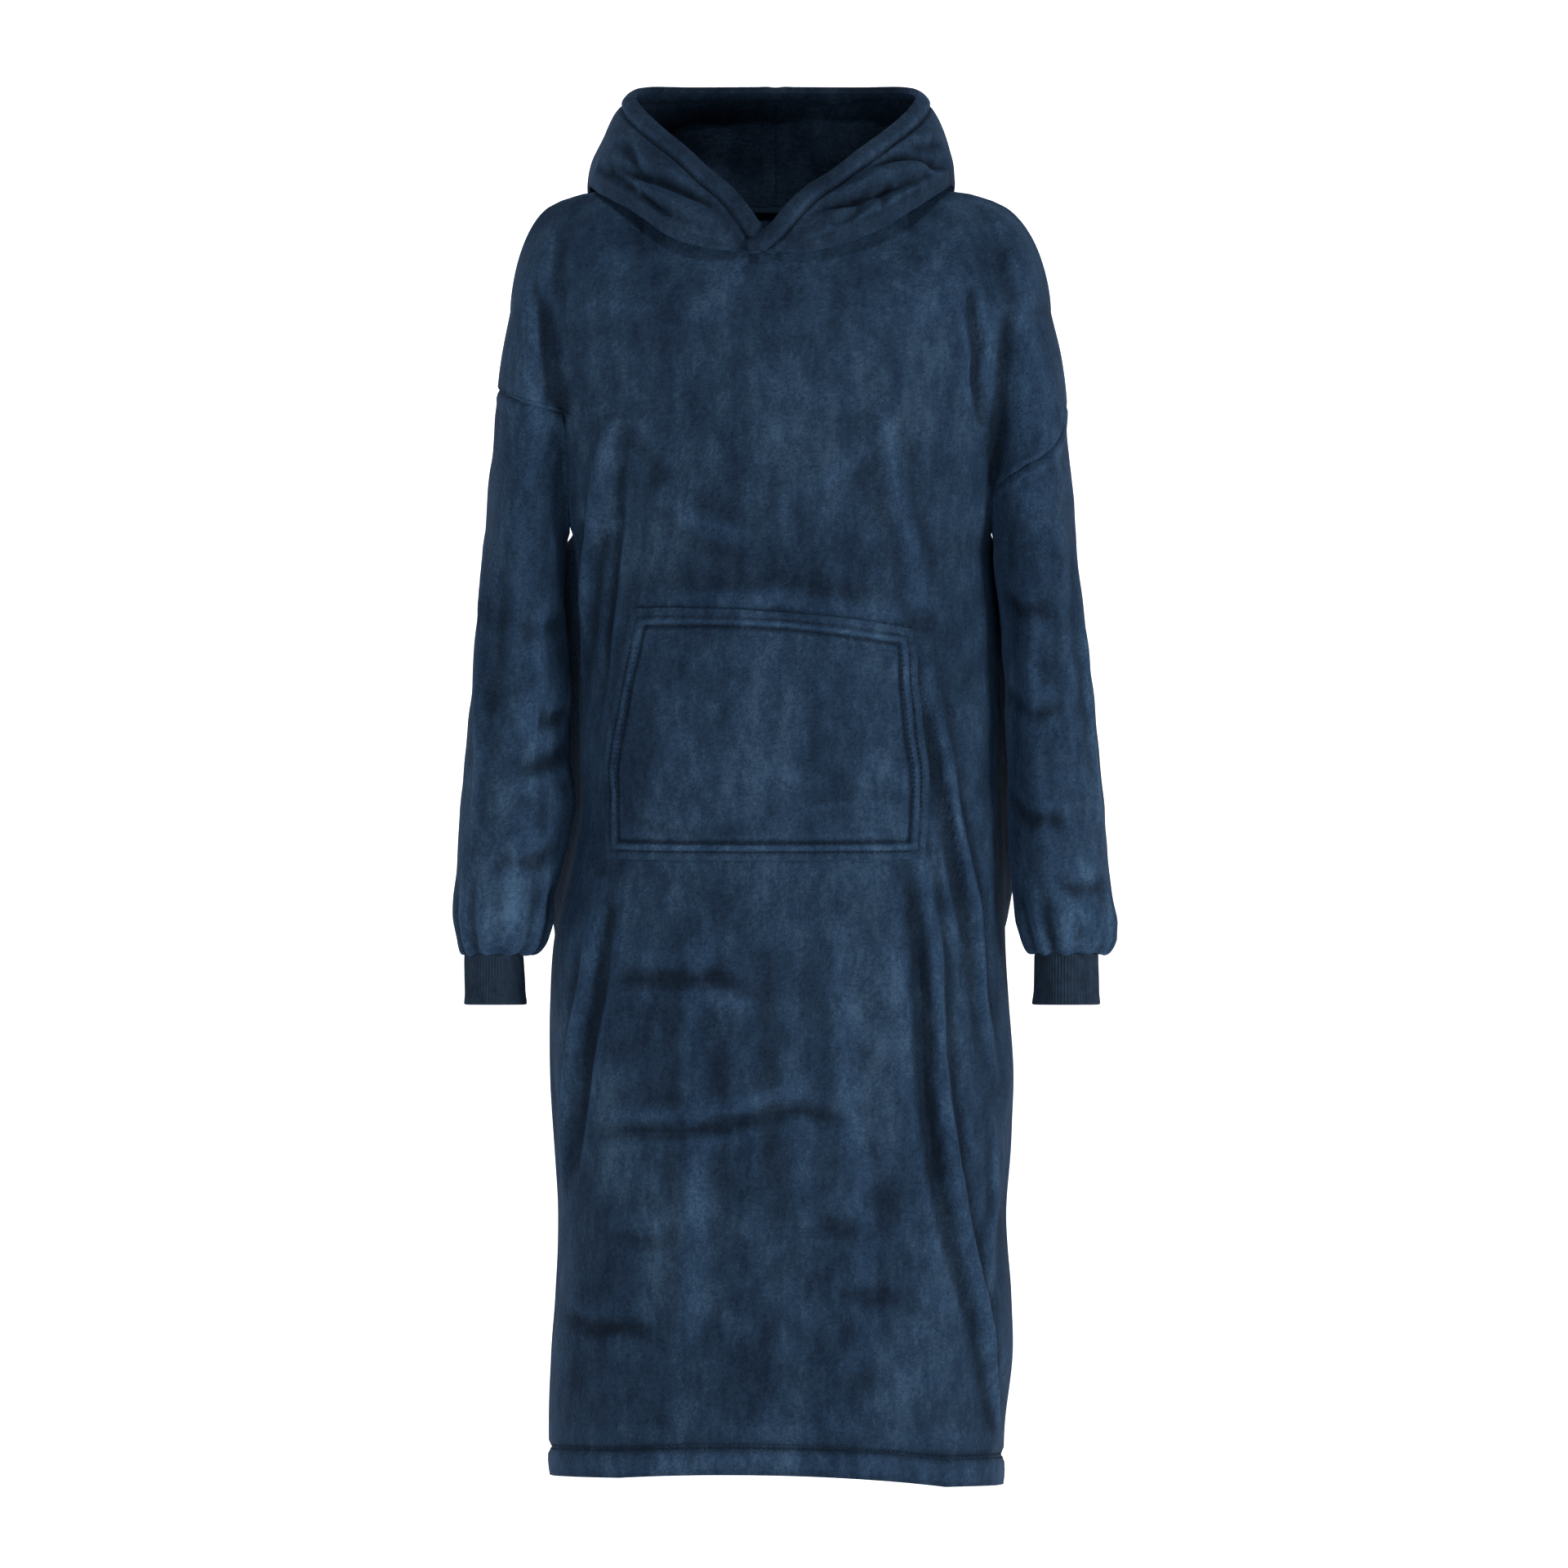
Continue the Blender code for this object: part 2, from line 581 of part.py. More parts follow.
def shifted_edges(grid, face, surface):
    """The grid with its side, armhole and top edges drawn back by half a seam gap."""
    grid = grid.copy()
    half = 0.5 * seam_gap
    for edge, inside in ((0, 1), (-1, -2)):
        inward = grid[:, inside] - grid[:, edge]
        inward /= np.linalg.norm(inward, axis=1)[:, None]
        grid[:, edge] += half * inward
        first = len(low_rows)
        side = -1.0 if edge == 0 else 1.0
        seam_inward = armhole_seam(side, surface, face)[2][::-1]
        grid[first : first + seam_steps + 1, edge] += 2.0 * half * seam_inward
    inward = grid[-2] - grid[-1]
    grid[-1] += half * inward / np.linalg.norm(inward, axis=1)[:, None]
    return grid


def add_panel(name, grid, face, surface, material):
    normal = grid_normals(grid, face)
    on_seam = np.abs(grid[:, :, 1]) < 0.0008
    normal[..., 1] = np.where(on_seam, 0.0, normal[..., 1])
    first = len(low_rows)
    for edge, side in ((0, -1.0), (-1, 1.0)):
        turned = armhole(side, np.linspace(1.0, 0.0, seam_steps + 1))[1]
        facing = armhole_seam(side, surface, face)[1][::-1]
        rows = first + np.flatnonzero(turned < 0.99)
        normal[rows, edge] = facing[rows - first]
    normal /= np.linalg.norm(normal, axis=2)[..., None]
    thickness = np.full(grid.shape[:2], wall)
    thickness[:2] = hem_wall
    outer = shifted_edges(grid, face, surface)
    inner = outer - normal * thickness[..., None]
    return add_wall(name, outer, inner, material, flip=face > 0), outer, normal


def arm_point(side, z, angle):
    table = left_arm_sizes if side < 0 else right_arm_sizes
    outer = read(table, z, 1)
    inner = read(table, z, 2)
    depth = np.where(np.sin(angle) >= 0.0, read(table, z, 3), read(table, z, 4))
    x = 0.5 * (outer + inner) + 0.5 * (outer - inner) * np.cos(angle)
    y = read(table, z, 5) - depth * np.sin(angle)
    return np.stack([side * x, y, z + 0.0 * x], axis=-1)


def sleeve_grid(side, front_surface, back_surface):
    """Rings of a sleeve, from the armhole seam down to the gathers over the cuff."""
    count = sleeve_columns
    columns = np.arange(count)
    angle = 2.0 * math.pi * columns / count
    step = np.where(columns <= seam_steps, columns, count - columns) / seam_steps
    seam_z, seam_round = armhole(side, step)
    q = seam_round if side < 0 else 5.0 - seam_round
    front = on_surface(front_surface, seam_z, q)
    back = on_surface(back_surface, seam_z, q)
    seam = np.where((columns <= seam_steps)[:, None], front, back)
    middle_x = arm_point(side, seam_z, np.full(count, 0.5 * math.pi))[:, 0]
    half_x = np.abs(arm_point(side, seam_z, np.zeros(count))[:, 0] - middle_x)
    start_angle = np.arccos(np.clip(side * (seam[:, 0] - middle_x) / half_x, -1.0, 1.0))
    start_angle = np.where(columns <= seam_steps, start_angle, 2.0 * math.pi - start_angle)
    start_angle[0] = 0.0
    residual = seam - arm_point(side, seam_z, start_angle)
    rings = []
    meet_z = -0.318
    for part in (0.0, 0.22, 0.55, 1.0):
        z = seam_z + (meet_z - seam_z) * part
        turned = start_angle + (angle - start_angle) * ease(part)
        rings.append(arm_point(side, z, turned) + residual * (1.0 - part) ** 2)
    for z in (-0.365, -0.415, -0.465, -0.515, -0.560, -0.596, -0.622):
        rings.append(arm_point(side, np.full(count, z), angle))
    middle = cuff_middle(side)
    bottom = arm_point(side, np.full(count, -0.636), angle)
    gather = np.where(columns % 3 == 1, 1.0, np.where(columns % 3 == 2, -0.9, 0.0))
    unit = bottom - np.array([middle[0], middle[1], -0.636])
    unit[:, 2] = 0.0
    reach = np.linalg.norm(unit, axis=1)[:, None]
    unit /= reach
    rings[-1] = rings[-1] + unit * (0.0015 * gather)[:, None]
    rings.append(bottom + unit * (0.0022 * gather)[:, None])
    neck_reach = cuff_reach(side, unit, cuff_top)[:, None]
    for share, z in ((0.62, -0.6465), (0.22, -0.6480)):
        ring = np.array([middle[0], middle[1], 0.0]) + unit * (neck_reach + (reach - neck_reach) * share)
        ring[:, 2] = z + 0.0012 * gather
        rings.append(ring)
    ring = np.array([middle[0], middle[1], 0.0]) + unit * (neck_reach + wall_clear)
    ring[:, 2] = -0.6440
    rings.append(ring)
    grid = np.stack(rings)
    front_inward = armhole_seam(side, front_surface, -1.0)[2]
    back_inward = armhole_seam(side, back_surface, 1.0)[2]
    inward = np.concatenate([front_inward, back_inward[-2:0:-1]])
    grid[0] -= 0.8 * seam_gap * inward
    away = np.array([side * 1.0, 0.0, 0.0]) * np.clip((seam_round - 0.8) / 0.2, 0.0, 1.0)[:, None]
    grid[0] += seam_gap * away
    grid[1] += seam_gap * away
    return grid


wall_clear = 0.0004


def cuff_middle(side):
    return (-0.2405, -0.030) if side < 0 else (0.2490, -0.030)


def cuff_reach(side, unit, z):
    """Outer reach of the plain cuff in a direction, at a height."""
    down = (cuff_top - z) / (cuff_top - cuff_end)
    half_x = (0.0248 if side < 0 else 0.0270) + 0.0012 * down
    half_y = (0.0275 if side < 0 else 0.0285) + 0.0010 * down
    return 1.0 / np.sqrt((unit[:, 0] / half_x) ** 2 + (unit[:, 1] / half_y) ** 2)


def add_sleeve(name, side, front_surface, back_surface, material):
    grid = sleeve_grid(side, front_surface, back_surface)
    normal = grid_normals(grid, 1.0, closed=True)
    middle = grid.mean(axis=1, keepdims=True)
    if float(np.sum(normal[4] * (grid[4] - middle[4]))) < 0.0:
        normal = -normal
    normal[-1] = normal[-1] * 0.0 + np.array([0.0, 0.0, -1.0])
    front_facing = armhole_seam(side, front_surface, -1.0)[1]
    back_facing = armhole_seam(side, back_surface, 1.0)[1]
    facing = np.concatenate([front_facing, back_facing[-2:0:-1]])
    turned = np.concatenate([armhole(side, np.linspace(0, 1, seam_steps + 1))[1], armhole(side, np.linspace(1, 0, seam_steps + 1))[1][1:-1]])
    normal[0] = np.where((turned < 0.99)[:, None], facing, normal[0])
    inner = grid - normal * wall
    return add_wall(name, grid, inner, material, closed=True, flip=side < 0), grid


def add_cuff(name, side, material):
    """A tube of doubled rib knit: ribs stand up on its outside, its inside is plain."""
    middle = np.array([*cuff_middle(side), 0.0])
    count = 2 * cuff_ribs
    angle = 2.0 * math.pi * np.arange(count) / count
    unit = np.stack([np.cos(angle), np.sin(angle), np.zeros(count)], axis=1)
    rib = np.where(np.arange(count) % 2 == 0, 0.0, -rib_height)
    rings = []
    for z, rib_share, draw in ((cuff_top, 0.0, 0.0007), (cuff_top - 0.012, 1.0, 0.0), (cuff_end + 0.003, 1.0, 0.0), (cuff_end, 0.3, 0.0012)):
        reach = cuff_reach(side, unit, z) + rib * rib_share - draw
        rings.append(middle + unit * reach[:, None] + np.array([0.0, 0.0, z]))
    inner_angle = 2.0 * math.pi * np.arange(sleeve_columns) / sleeve_columns
    inner_unit = np.stack([np.cos(inner_angle), np.sin(inner_angle), np.zeros(sleeve_columns)], axis=1)
    inner_rings = []
    for z in (cuff_top, cuff_end):
        reach = cuff_reach(side, inner_unit, z) - cuff_wall
        inner_rings.append(middle + inner_unit * reach[:, None] + np.array([0.0, 0.0, z]))
    vertices = np.concatenate(rings + inner_rings)
    faces = []
    for row in range(3):
        for column in range(count):
            after = (column + 1) % count
            faces.append([row * count + column, (row + 1) * count + column, (row + 1) * count + after, row * count + after])
    start = 4 * count
    for column in range(sleeve_columns):
        after = (column + 1) % sleeve_columns
        faces.append([start + column, start + after, start + sleeve_columns + after, start + sleeve_columns + column])
    faces += ring_faces(0, count, start, sleeve_columns, True)
    faces += ring_faces(3 * count, count, start + sleeve_columns, sleeve_columns, False)
    return add_object(name, vertices, faces, material)


def ring_faces(outer_start, outer_count, inner_start, inner_count, upward):
    """Triangles between an outer ring and an inner ring with fewer points, both starting at the same angle."""
    faces = []
    outer = 0
    inner = 0
    while outer < outer_count or inner < inner_count:
        a = outer_start + outer % outer_count
        b = inner_start + inner % inner_count
        if (outer + 0.5) * inner_count <= (inner + 0.5) * outer_count and outer < outer_count or inner >= inner_count:
            outer += 1
            face = [a, outer_start + outer % outer_count, b]
        else:
            inner += 1
            face = [a, inner_start + inner % inner_count, b]
        faces.append(face if upward else face[::-1])
    return faces


# Hood


def hood_value(along, key):
    table = [(row["along"], *row[key]) for row in hood_stations]
    return np.array([float(read(table, along, axis)) for axis in (1, 2, 3)])


def neck_seam(along, side):
    """Neck seam from the middle of the front (0) over the shoulder (0.5) to the middle of the back (1)."""
    face = -1.0 if along <= 0.5 else 1.0
    turns = np.linspace(0.0, 1.0, middle_columns + 1)
    corners = neck_point(turns, face)
    point = at_lengths(corners, turns, abs(0.5 - along))
    return point * np.array([side, 1.0, 1.0])


def through(controls, count):
    """Even steps along a smooth curve through the control points."""
    controls = np.array(controls)
    padded = np.concatenate([[2 * controls[0] - controls[1]], controls, [2 * controls[-1] - controls[-2]]])
    dense = []
    for index in range(1, len(padded) - 2):
        a, b, c, d = padded[index - 1 : index + 3]
        for t in np.linspace(0.0, 1.0, 12, endpoint=False):
            dense.append(0.5 * (2 * b + (c - a) * t + (2 * a - 5 * b + 4 * c - d) * t ** 2 + (3 * b - a - 3 * c + d) * t ** 3))
    dense.append(controls[-1])
    dense = np.array(dense)
    along = lengths(dense)
    return at_lengths(dense, along, np.linspace(0.0, along[-1], count))


def hood_profile(along, side):
    """Middle of the hood's wall from the rim down over its folds and back to the neck seam."""
    seam = neck_seam(along, side)
    mirror = np.array([side, 1.0, 1.0])
    rim = hood_value(along, "rim") * mirror
    upper = hood_value(along, "upper") * mirror
    lower = hood_value(along, "lower") * mirror
    fold = hood_value(along, "fold") * mirror
    if side > 0:
        narrow = ease(np.clip((0.9 - abs(along - 0.5)) / 0.9, 0.0, 1.0))
        for point in (lower, fold):
            point[0] -= 0.010 * narrow * min(1.0, along / 0.4)
    outward = seam * np.array([1.0, 1.0, 0.0])
    outward /= np.linalg.norm(outward)
    cross_over = 1.0 - ease(min(1.0, along / 0.10)) if side > 0 else 0.0
    base = seam - outward * 0.0018 + np.array([0.0, 0.0, 0.0010])
    base += outward * 0.0086 * cross_over
    base[0] -= 0.016 * cross_over
    rim[0] -= 0.034 * cross_over
    rim += outward * 0.0086 * cross_over
    if side < 0:
        step_back = 1.0 - ease(min(1.0, along / 0.10))
        base[0] -= 0.005 * step_back
    collar = base + np.array([0.0, 0.0, 0.006]) + outward * 0.0012
    under = base + (fold - base) * 0.82 - outward * 0.006 + np.array([0.0, 0.0, -0.004])
    over = base + (fold - base) * 0.40 + np.array([0.0, 0.0, 0.004])
    folded = [rim, upper, lower, fold, under, over, collar, base]
    straight = [rim + (base - rim) * share for share in (0.0, 0.17, 0.34, 0.50, 0.62, 0.76, 0.90, 1.0)]
    amount = ease(min(1.0, along / 0.24))
    controls = [s + (f - s) * amount for s, f in zip(straight, folded)]
    return np.concatenate([through(controls[:-1], hood_rows - 1), [controls[-1]]])


def hood_grid(side, body_tree):
    steps = np.linspace(0.0, 1.0, hood_steps + 1)
    grid = np.stack([hood_profile(step, side) for step in steps], axis=1)
    normal = grid_normals(grid, side)
    row = np.linspace(0.0, 1.0, hood_rows)
    outer_layer = np.clip(1.0 - np.abs(row - 0.38) / 0.30, 0.0, 1.0)
    wave = (np.abs(np.sin(row * 3.0 * math.pi / 0.66)) - 0.5) * ease(outer_layer)
    amount = np.array([ease(min(1.0, max(0.0, step - 0.12) / 0.30)) for step in steps])
    grid = grid + normal * (hood_fold_height * wave[:, None] * amount[None, :])[..., None]
    grid[:, -1, 0] = 0.5 * side * seam_gap
    for index in range(2, hood_rows - 2):
        for column, step in enumerate(steps):
            wanted = hood_clearance * ease(min(1.0, step / 0.2))
            point = Vector(grid[index, column])
            place, direction, _, _ = body_tree.find_nearest(point)
            away = (point - place).dot(direction)
            if away < wanted:
                grid[index, column] = point + direction * (wanted - away)
    grid[:, -1, 0] = 0.5 * side * seam_gap
    return grid


def add_hood(name, side, body_tree, material):
    grid = hood_grid(side, body_tree)
    normal = grid_normals(grid, side)
    normal[:, -1, 0] = 0.0
    outward = grid[-1] * np.array([1.0, 1.0, 0.0])
    normal[-1] = outward / np.linalg.norm(outward, axis=1)[:, None]
    normal[:, -1, 0] = 0.0
    normal /= np.linalg.norm(normal, axis=2)[..., None]
    along = np.stack([lengths(grid[:, column]) for column in range(grid.shape[1])], axis=1)
    rim = np.clip((rim_width - along) / 0.004, 0.0, 1.0)
    half = 0.5 * wall + 0.5 * (hem_wall - wall) * rim
    outer = grid + normal * half[..., None]
    inner = grid - normal * half[..., None]
    return add_wall(name, outer, inner, material, flip=side > 0)


def add_pocket(outer, normal, material):
    """Pocket made from the front panel's own points, moved out; its edges are turned in and lie double."""
    rows = slice(pocket_bottom_row, pocket_top_row + 1)
    columns = slice(side_columns, side_columns + middle_columns + 1)
    base = outer[rows, columns]
    out = normal[rows, columns]
    thickness = np.full(base.shape[:2], wall)
    thickness[0] = hem_wall
    thickness[-1] = hem_wall
    thickness[:, 0] = hem_wall
    thickness[:, -1] = hem_wall
    near = base + out * seam_gap
    far = near + out * thickness[..., None]
    return add_wall("pocket", far, near, material)


for old in list(bpy.data.objects):
    bpy.data.objects.remove(old, do_unlink=True)
bpy.context.scene.unit_settings.system = "METRIC"
collection = bpy.data.collections.new("fleece_hoodie")
bpy.context.scene.collection.children.link(collection)

body_fleece = add_material("body_fleece", fleece_colour, 0.95)
sleeve_fleece = add_material("sleeve_fleece", fleece_colour, 0.95)
hood_fleece = add_material("hood_fleece", fleece_colour, 0.95)
pocket_fleece = add_material("pocket_fleece", fleece_colour, 0.95)
rib_knit = add_material("rib_knit", rib_colour, 0.85)

front_surface, front_grid = panel_grid(-1.0)
back_surface, back_grid = panel_grid(1.0)
front, front_outer, front_normal = add_panel("body_front", front_grid, -1.0, front_surface, body_fleece)
back, back_outer, back_normal = add_panel("body_back", back_grid, 1.0, back_surface, body_fleece)
add_pocket(front_outer, front_normal, pocket_fleece)
for label, side in (("left", 1.0), ("right", -1.0)):
    add_sleeve("sleeve_" + label, side, front_surface, back_surface, sleeve_fleece)
    add_cuff("cuff_" + label, side, rib_knit)

panel_points = np.concatenate([front_outer.reshape(-1, 3), back_outer.reshape(-1, 3)])
panel_faces = []
panel_rows, panel_columns = front_outer.shape[:2]
for layer, turned in ((0, True), (1, False)):
    start = layer * panel_rows * panel_columns
    for row in range(panel_rows - 1):
        for column in range(panel_columns - 1):
            a = start + row * panel_columns + column
            ring = [a, a + 1, a + panel_columns + 1, a + panel_columns]
            panel_faces.append(ring if turned else ring[::-1])
panels = BVHTree.FromPolygons([Vector(point) for point in panel_points], panel_faces)
for label, side in (("left", 1.0), ("right", -1.0)):
    add_hood("hood_" + label, side, panels, hood_fleece)
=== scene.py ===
# Long hooded pullover of thick plush fleece, hollow and filled out as if worn, seen from the front.
# Metres, Z up. The front faces -Y and the wearer's left hand is at +X.
# "Left" and "right" in the tables are as seen from the front; the pieces' names use the wearer's sides.
import math

import bpy
import bmesh
import numpy as np
from mathutils import Matrix, Vector, noise
from mathutils.bvhtree import BVHTree


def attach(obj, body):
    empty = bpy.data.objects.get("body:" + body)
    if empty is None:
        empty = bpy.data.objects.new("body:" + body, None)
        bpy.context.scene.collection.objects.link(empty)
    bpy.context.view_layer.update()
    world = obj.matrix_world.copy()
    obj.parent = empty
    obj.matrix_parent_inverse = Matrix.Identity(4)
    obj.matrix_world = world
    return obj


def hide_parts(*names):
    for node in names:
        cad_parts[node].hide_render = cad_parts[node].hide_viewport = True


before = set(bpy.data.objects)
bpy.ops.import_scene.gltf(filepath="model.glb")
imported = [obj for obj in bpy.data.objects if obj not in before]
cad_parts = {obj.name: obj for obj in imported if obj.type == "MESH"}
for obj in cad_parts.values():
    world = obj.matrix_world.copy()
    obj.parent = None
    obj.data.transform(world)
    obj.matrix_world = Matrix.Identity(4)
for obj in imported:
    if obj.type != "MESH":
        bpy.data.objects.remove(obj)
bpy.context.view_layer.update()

# sizes the pieces share
cloth = {
    "wall": 0.0030,  # one layer of fleece with its pile
    "hem": 0.0056,  # turned up and lying double
    "seamSink": 0.0024,  # how deep a seam draws the cloth in
    "seamWidth": 0.0034,
    "ridge": 0.0010,  # height of the ridge beside a seam
    "ridgeAway": 0.0085,
    "ridgeWidth": 0.0042,
    "seamFade": 0.030,  # folds fade out this near a seam
}
# the zone under an arm where its seams lie in the crease, and the cloth meets
armCrease = {"z": -0.235, "height": 0.045, "width": 0.008, "lift": 0.0012}
pit = -0.280  # height of the armpits
yoke = -0.100  # height where the shoulders start to round over
marks = 60  # samples between two landmarks of a section

# the body by height: half widths left and right, depths to the front and back
bodySizes = [
    (-1.110, 0.1925, 0.1940, 0.1500, 0.1450),
    (-1.050, 0.1940, 0.1955, 0.1500, 0.1450),
    (-0.995, 0.1920, 0.2020, 0.1480, 0.1440),
    (-0.940, 0.1880, 0.2010, 0.1460, 0.1430),
    (-0.870, 0.1858, 0.1965, 0.1440, 0.1410),
    (-0.812, 0.1895, 0.2010, 0.1430, 0.1400),
    (-0.755, 0.1930, 0.2025, 0.1420, 0.1390),
    (-0.690, 0.1925, 0.1985, 0.1400, 0.1380),
    (-0.640, 0.1895, 0.1960, 0.1390, 0.1370),
    (-0.605, 0.1825, 0.1950, 0.1380, 0.1360),
    (-0.570, 0.1740, 0.1940, 0.1370, 0.1350),
    (-0.530, 0.1665, 0.1925, 0.1360, 0.1340),
    (-0.475, 0.1655, 0.1915, 0.1350, 0.1320),
    (-0.420, 0.1650, 0.1905, 0.1340, 0.1290),
    (-0.375, 0.1650, 0.1880, 0.1330, 0.1270),
    (-0.335, 0.1670, 0.1840, 0.1310, 0.1250),
    (-0.300, 0.1705, 0.1825, 0.1290, 0.1230),
    (-0.280, 0.1765, 0.1855, 0.1280, 0.1220),
    (-0.250, 0.1850, 0.1915, 0.1260, 0.1210),
    (-0.220, 0.1920, 0.1975, 0.1250, 0.1200),
    (-0.180, 0.2000, 0.2060, 0.1230, 0.1190),
    (-0.140, 0.2070, 0.2150, 0.1210, 0.1170),
    (-0.100, 0.2130, 0.2230, 0.1190, 0.1150),
]

# an arm by height: outer side, inner side, depths to the front and back, its middle from front to back
armSizes = {
    -1.0: [
        (-0.100, 0.2268, 0.1700, 0.0620, 0.0620, 0.000),
        (-0.140, 0.2345, 0.1690, 0.0670, 0.0660, 0.000),
        (-0.164, 0.2378, 0.1690, 0.0690, 0.0680, 0.000),
        (-0.203, 0.2400, 0.1700, 0.0710, 0.0700, 0.000),
        (-0.245, 0.2450, 0.1730, 0.0730, 0.0720, 0.000),
        (-0.280, 0.2485, 0.1765, 0.0740, 0.0730, 0.000),
        (-0.310, 0.2510, 0.1785, 0.0740, 0.0730, -0.002),
        (-0.367, 0.2567, 0.1800, 0.0730, 0.0710, -0.006),
        (-0.420, 0.2605, 0.1745, 0.0710, 0.0690, -0.010),
        (-0.470, 0.2650, 0.1760, 0.0680, 0.0660, -0.014),
        (-0.520, 0.2695, 0.1720, 0.0650, 0.0620, -0.018),
        (-0.560, 0.2730, 0.1785, 0.0620, 0.0590, -0.022),
        (-0.600, 0.2750, 0.1880, 0.0580, 0.0550, -0.026),
        (-0.623, 0.2737, 0.1915, 0.0530, 0.0510, -0.028),
        (-0.636, 0.2710, 0.1960, 0.0480, 0.0470, -0.029),
    ],
    1.0: [
        (-0.100, 0.2352, 0.1760, 0.0620, 0.0620, 0.000),
        (-0.140, 0.2443, 0.1760, 0.0670, 0.0660, 0.000),
        (-0.176, 0.2490, 0.1765, 0.0700, 0.0690, 0.000),
        (-0.203, 0.2502, 0.1780, 0.0710, 0.0700, 0.000),
        (-0.245, 0.2540, 0.1815, 0.0730, 0.0720, 0.000),
        (-0.280, 0.2570, 0.1855, 0.0740, 0.0730, 0.000),
        (-0.310, 0.2595, 0.1868, 0.0740, 0.0730, -0.002),
        (-0.371, 0.2670, 0.1935, 0.0730, 0.0710, -0.006),
        (-0.420, 0.2715, 0.1960, 0.0710, 0.0690, -0.010),
        (-0.475, 0.2762, 0.1965, 0.0680, 0.0660, -0.014),
        (-0.530, 0.2812, 0.1985, 0.0650, 0.0620, -0.018),
        (-0.570, 0.2850, 0.2010, 0.0620, 0.0590, -0.022),
        (-0.605, 0.2885, 0.2045, 0.0580, 0.0550, -0.026),
        (-0.623, 0.2905, 0.2070, 0.0530, 0.0510, -0.028),
        (-0.636, 0.2895, 0.2110, 0.0480, 0.0470, -0.029),
    ],
}

# an armhole seam, from the outside of the arm (0) to the armpit (1): height, and how far round to the crease
armholes = {
    -1.0: [(0.00, -0.1640, 0.00), (0.25, -0.1715, 0.45), (0.50, -0.1870, 1.00), (1.00, -0.2800, 1.00)],
    1.0: [(0.00, -0.1760, 0.00), (0.30, -0.2080, 0.35), (0.80, -0.2520, 1.00), (1.00, -0.2800, 1.00)],
}

# the two lines that the panels' columns follow, which in front are the pocket's sides
columnLines = [
    (-1.110, -0.1330, 0.1450),
    (-0.900, -0.1400, 0.1400),
    (-0.700, -0.1420, 0.1320),
    (-0.568, -0.1414, 0.1253),
    (-0.510, -0.1405, 0.1278),
    (-0.450, -0.1330, 0.1205),
    (-0.372, -0.1210, 0.1158),
    (-0.280, -0.1170, 0.1150),
    (-0.100, -0.1180, 0.1200),
]

# rows of the panels below the armpits: heights at the left line, the middle and the right line
lowRows = [
    (-1.0960, -1.0935, -1.1040),
    (-1.0715, -1.0700, -1.0780),
    (-1.0050, -1.0050, -1.0080),
    (-0.8550, -0.8550, -0.8550),
    (-0.7050, -0.7050, -0.7050),
    (-0.5680, -0.5695, -0.5680),
    (-0.5100, -0.5100, -0.5100),
    (-0.4550, -0.4550, -0.4550),
    (-0.4050, -0.4050, -0.4080),
    (-0.3545, -0.3560, -0.3720),
    (-0.3170, -0.3170, -0.3220),
    (-0.2800, -0.2800, -0.2800),
]
pocketRows = (5, 9)  # of the table above

# the largest folds: height over the cloth round them, half width, and path as (z, x)
largeFolds = {
    -1.0: [
        {"height": 0.0150, "width": 0.0090,
         "path": [(-0.560, 0.124), (-0.674, 0.134), (-0.781, 0.140), (-0.888, 0.158), (-0.974, 0.178),
                  (-1.060, 0.190)]},
        {"height": 0.0090, "width": 0.0080,
         "path": [(-0.400, 0.129), (-0.475, 0.142), (-0.542, 0.153), (-0.603, 0.168), (-0.689, 0.176),
                  (-0.760, 0.187)]},
        {"height": 0.0090, "width": 0.0085,
         "path": [(-0.580, -0.146), (-0.652, -0.158), (-0.752, -0.175), (-0.860, -0.182)]},
        {"height": 0.0110, "width": 0.0095,
         "path": [(-0.190, -0.142), (-0.232, -0.147), (-0.327, -0.157), (-0.420, -0.163)]},
        {"height": 0.0050, "width": 0.0110,
         "path": [(-0.170, 0.092), (-0.233, 0.100), (-0.322, 0.117), (-0.360, 0.122)]},
    ],
    1.0: [
        {"height": 0.0110, "width": 0.0140,
         "path": [(-0.520, -0.120), (-0.700, -0.134), (-0.900, -0.150), (-1.060, -0.160)]},
        {"height": 0.0090, "width": 0.0150,
         "path": [(-0.480, 0.060), (-0.700, 0.078), (-0.900, 0.100), (-1.040, 0.112)]},
    ],
}

# how far the back stands out sideways behind the arms, by height: left, right
backSwells = [
    (-1.110, 0.0000, 0.0000),
    (-0.700, 0.0000, 0.0000),
    (-0.650, 0.0020, 0.0020),
    (-0.623, 0.0160, 0.0150),
    (-0.600, 0.0230, 0.0200),
    (-0.560, 0.0270, 0.0280),
    (-0.470, 0.0310, 0.0280),
    (-0.370, 0.0340, 0.0280),
    (-0.330, 0.0330, 0.0270),
    (-0.310, 0.0300, 0.0250),
    (-0.298, 0.0220, 0.0180),
    (-0.287, 0.0060, 0.0050),
    (-0.280, 0.0000, 0.0000),
]


def foldLine(lift, width, lean, *path):
    # a crease: lift (minus for a trough), half width, lean to one side, and path as (x, z)
    return {"lift": lift, "width": width, "lean": lean, "path": path}


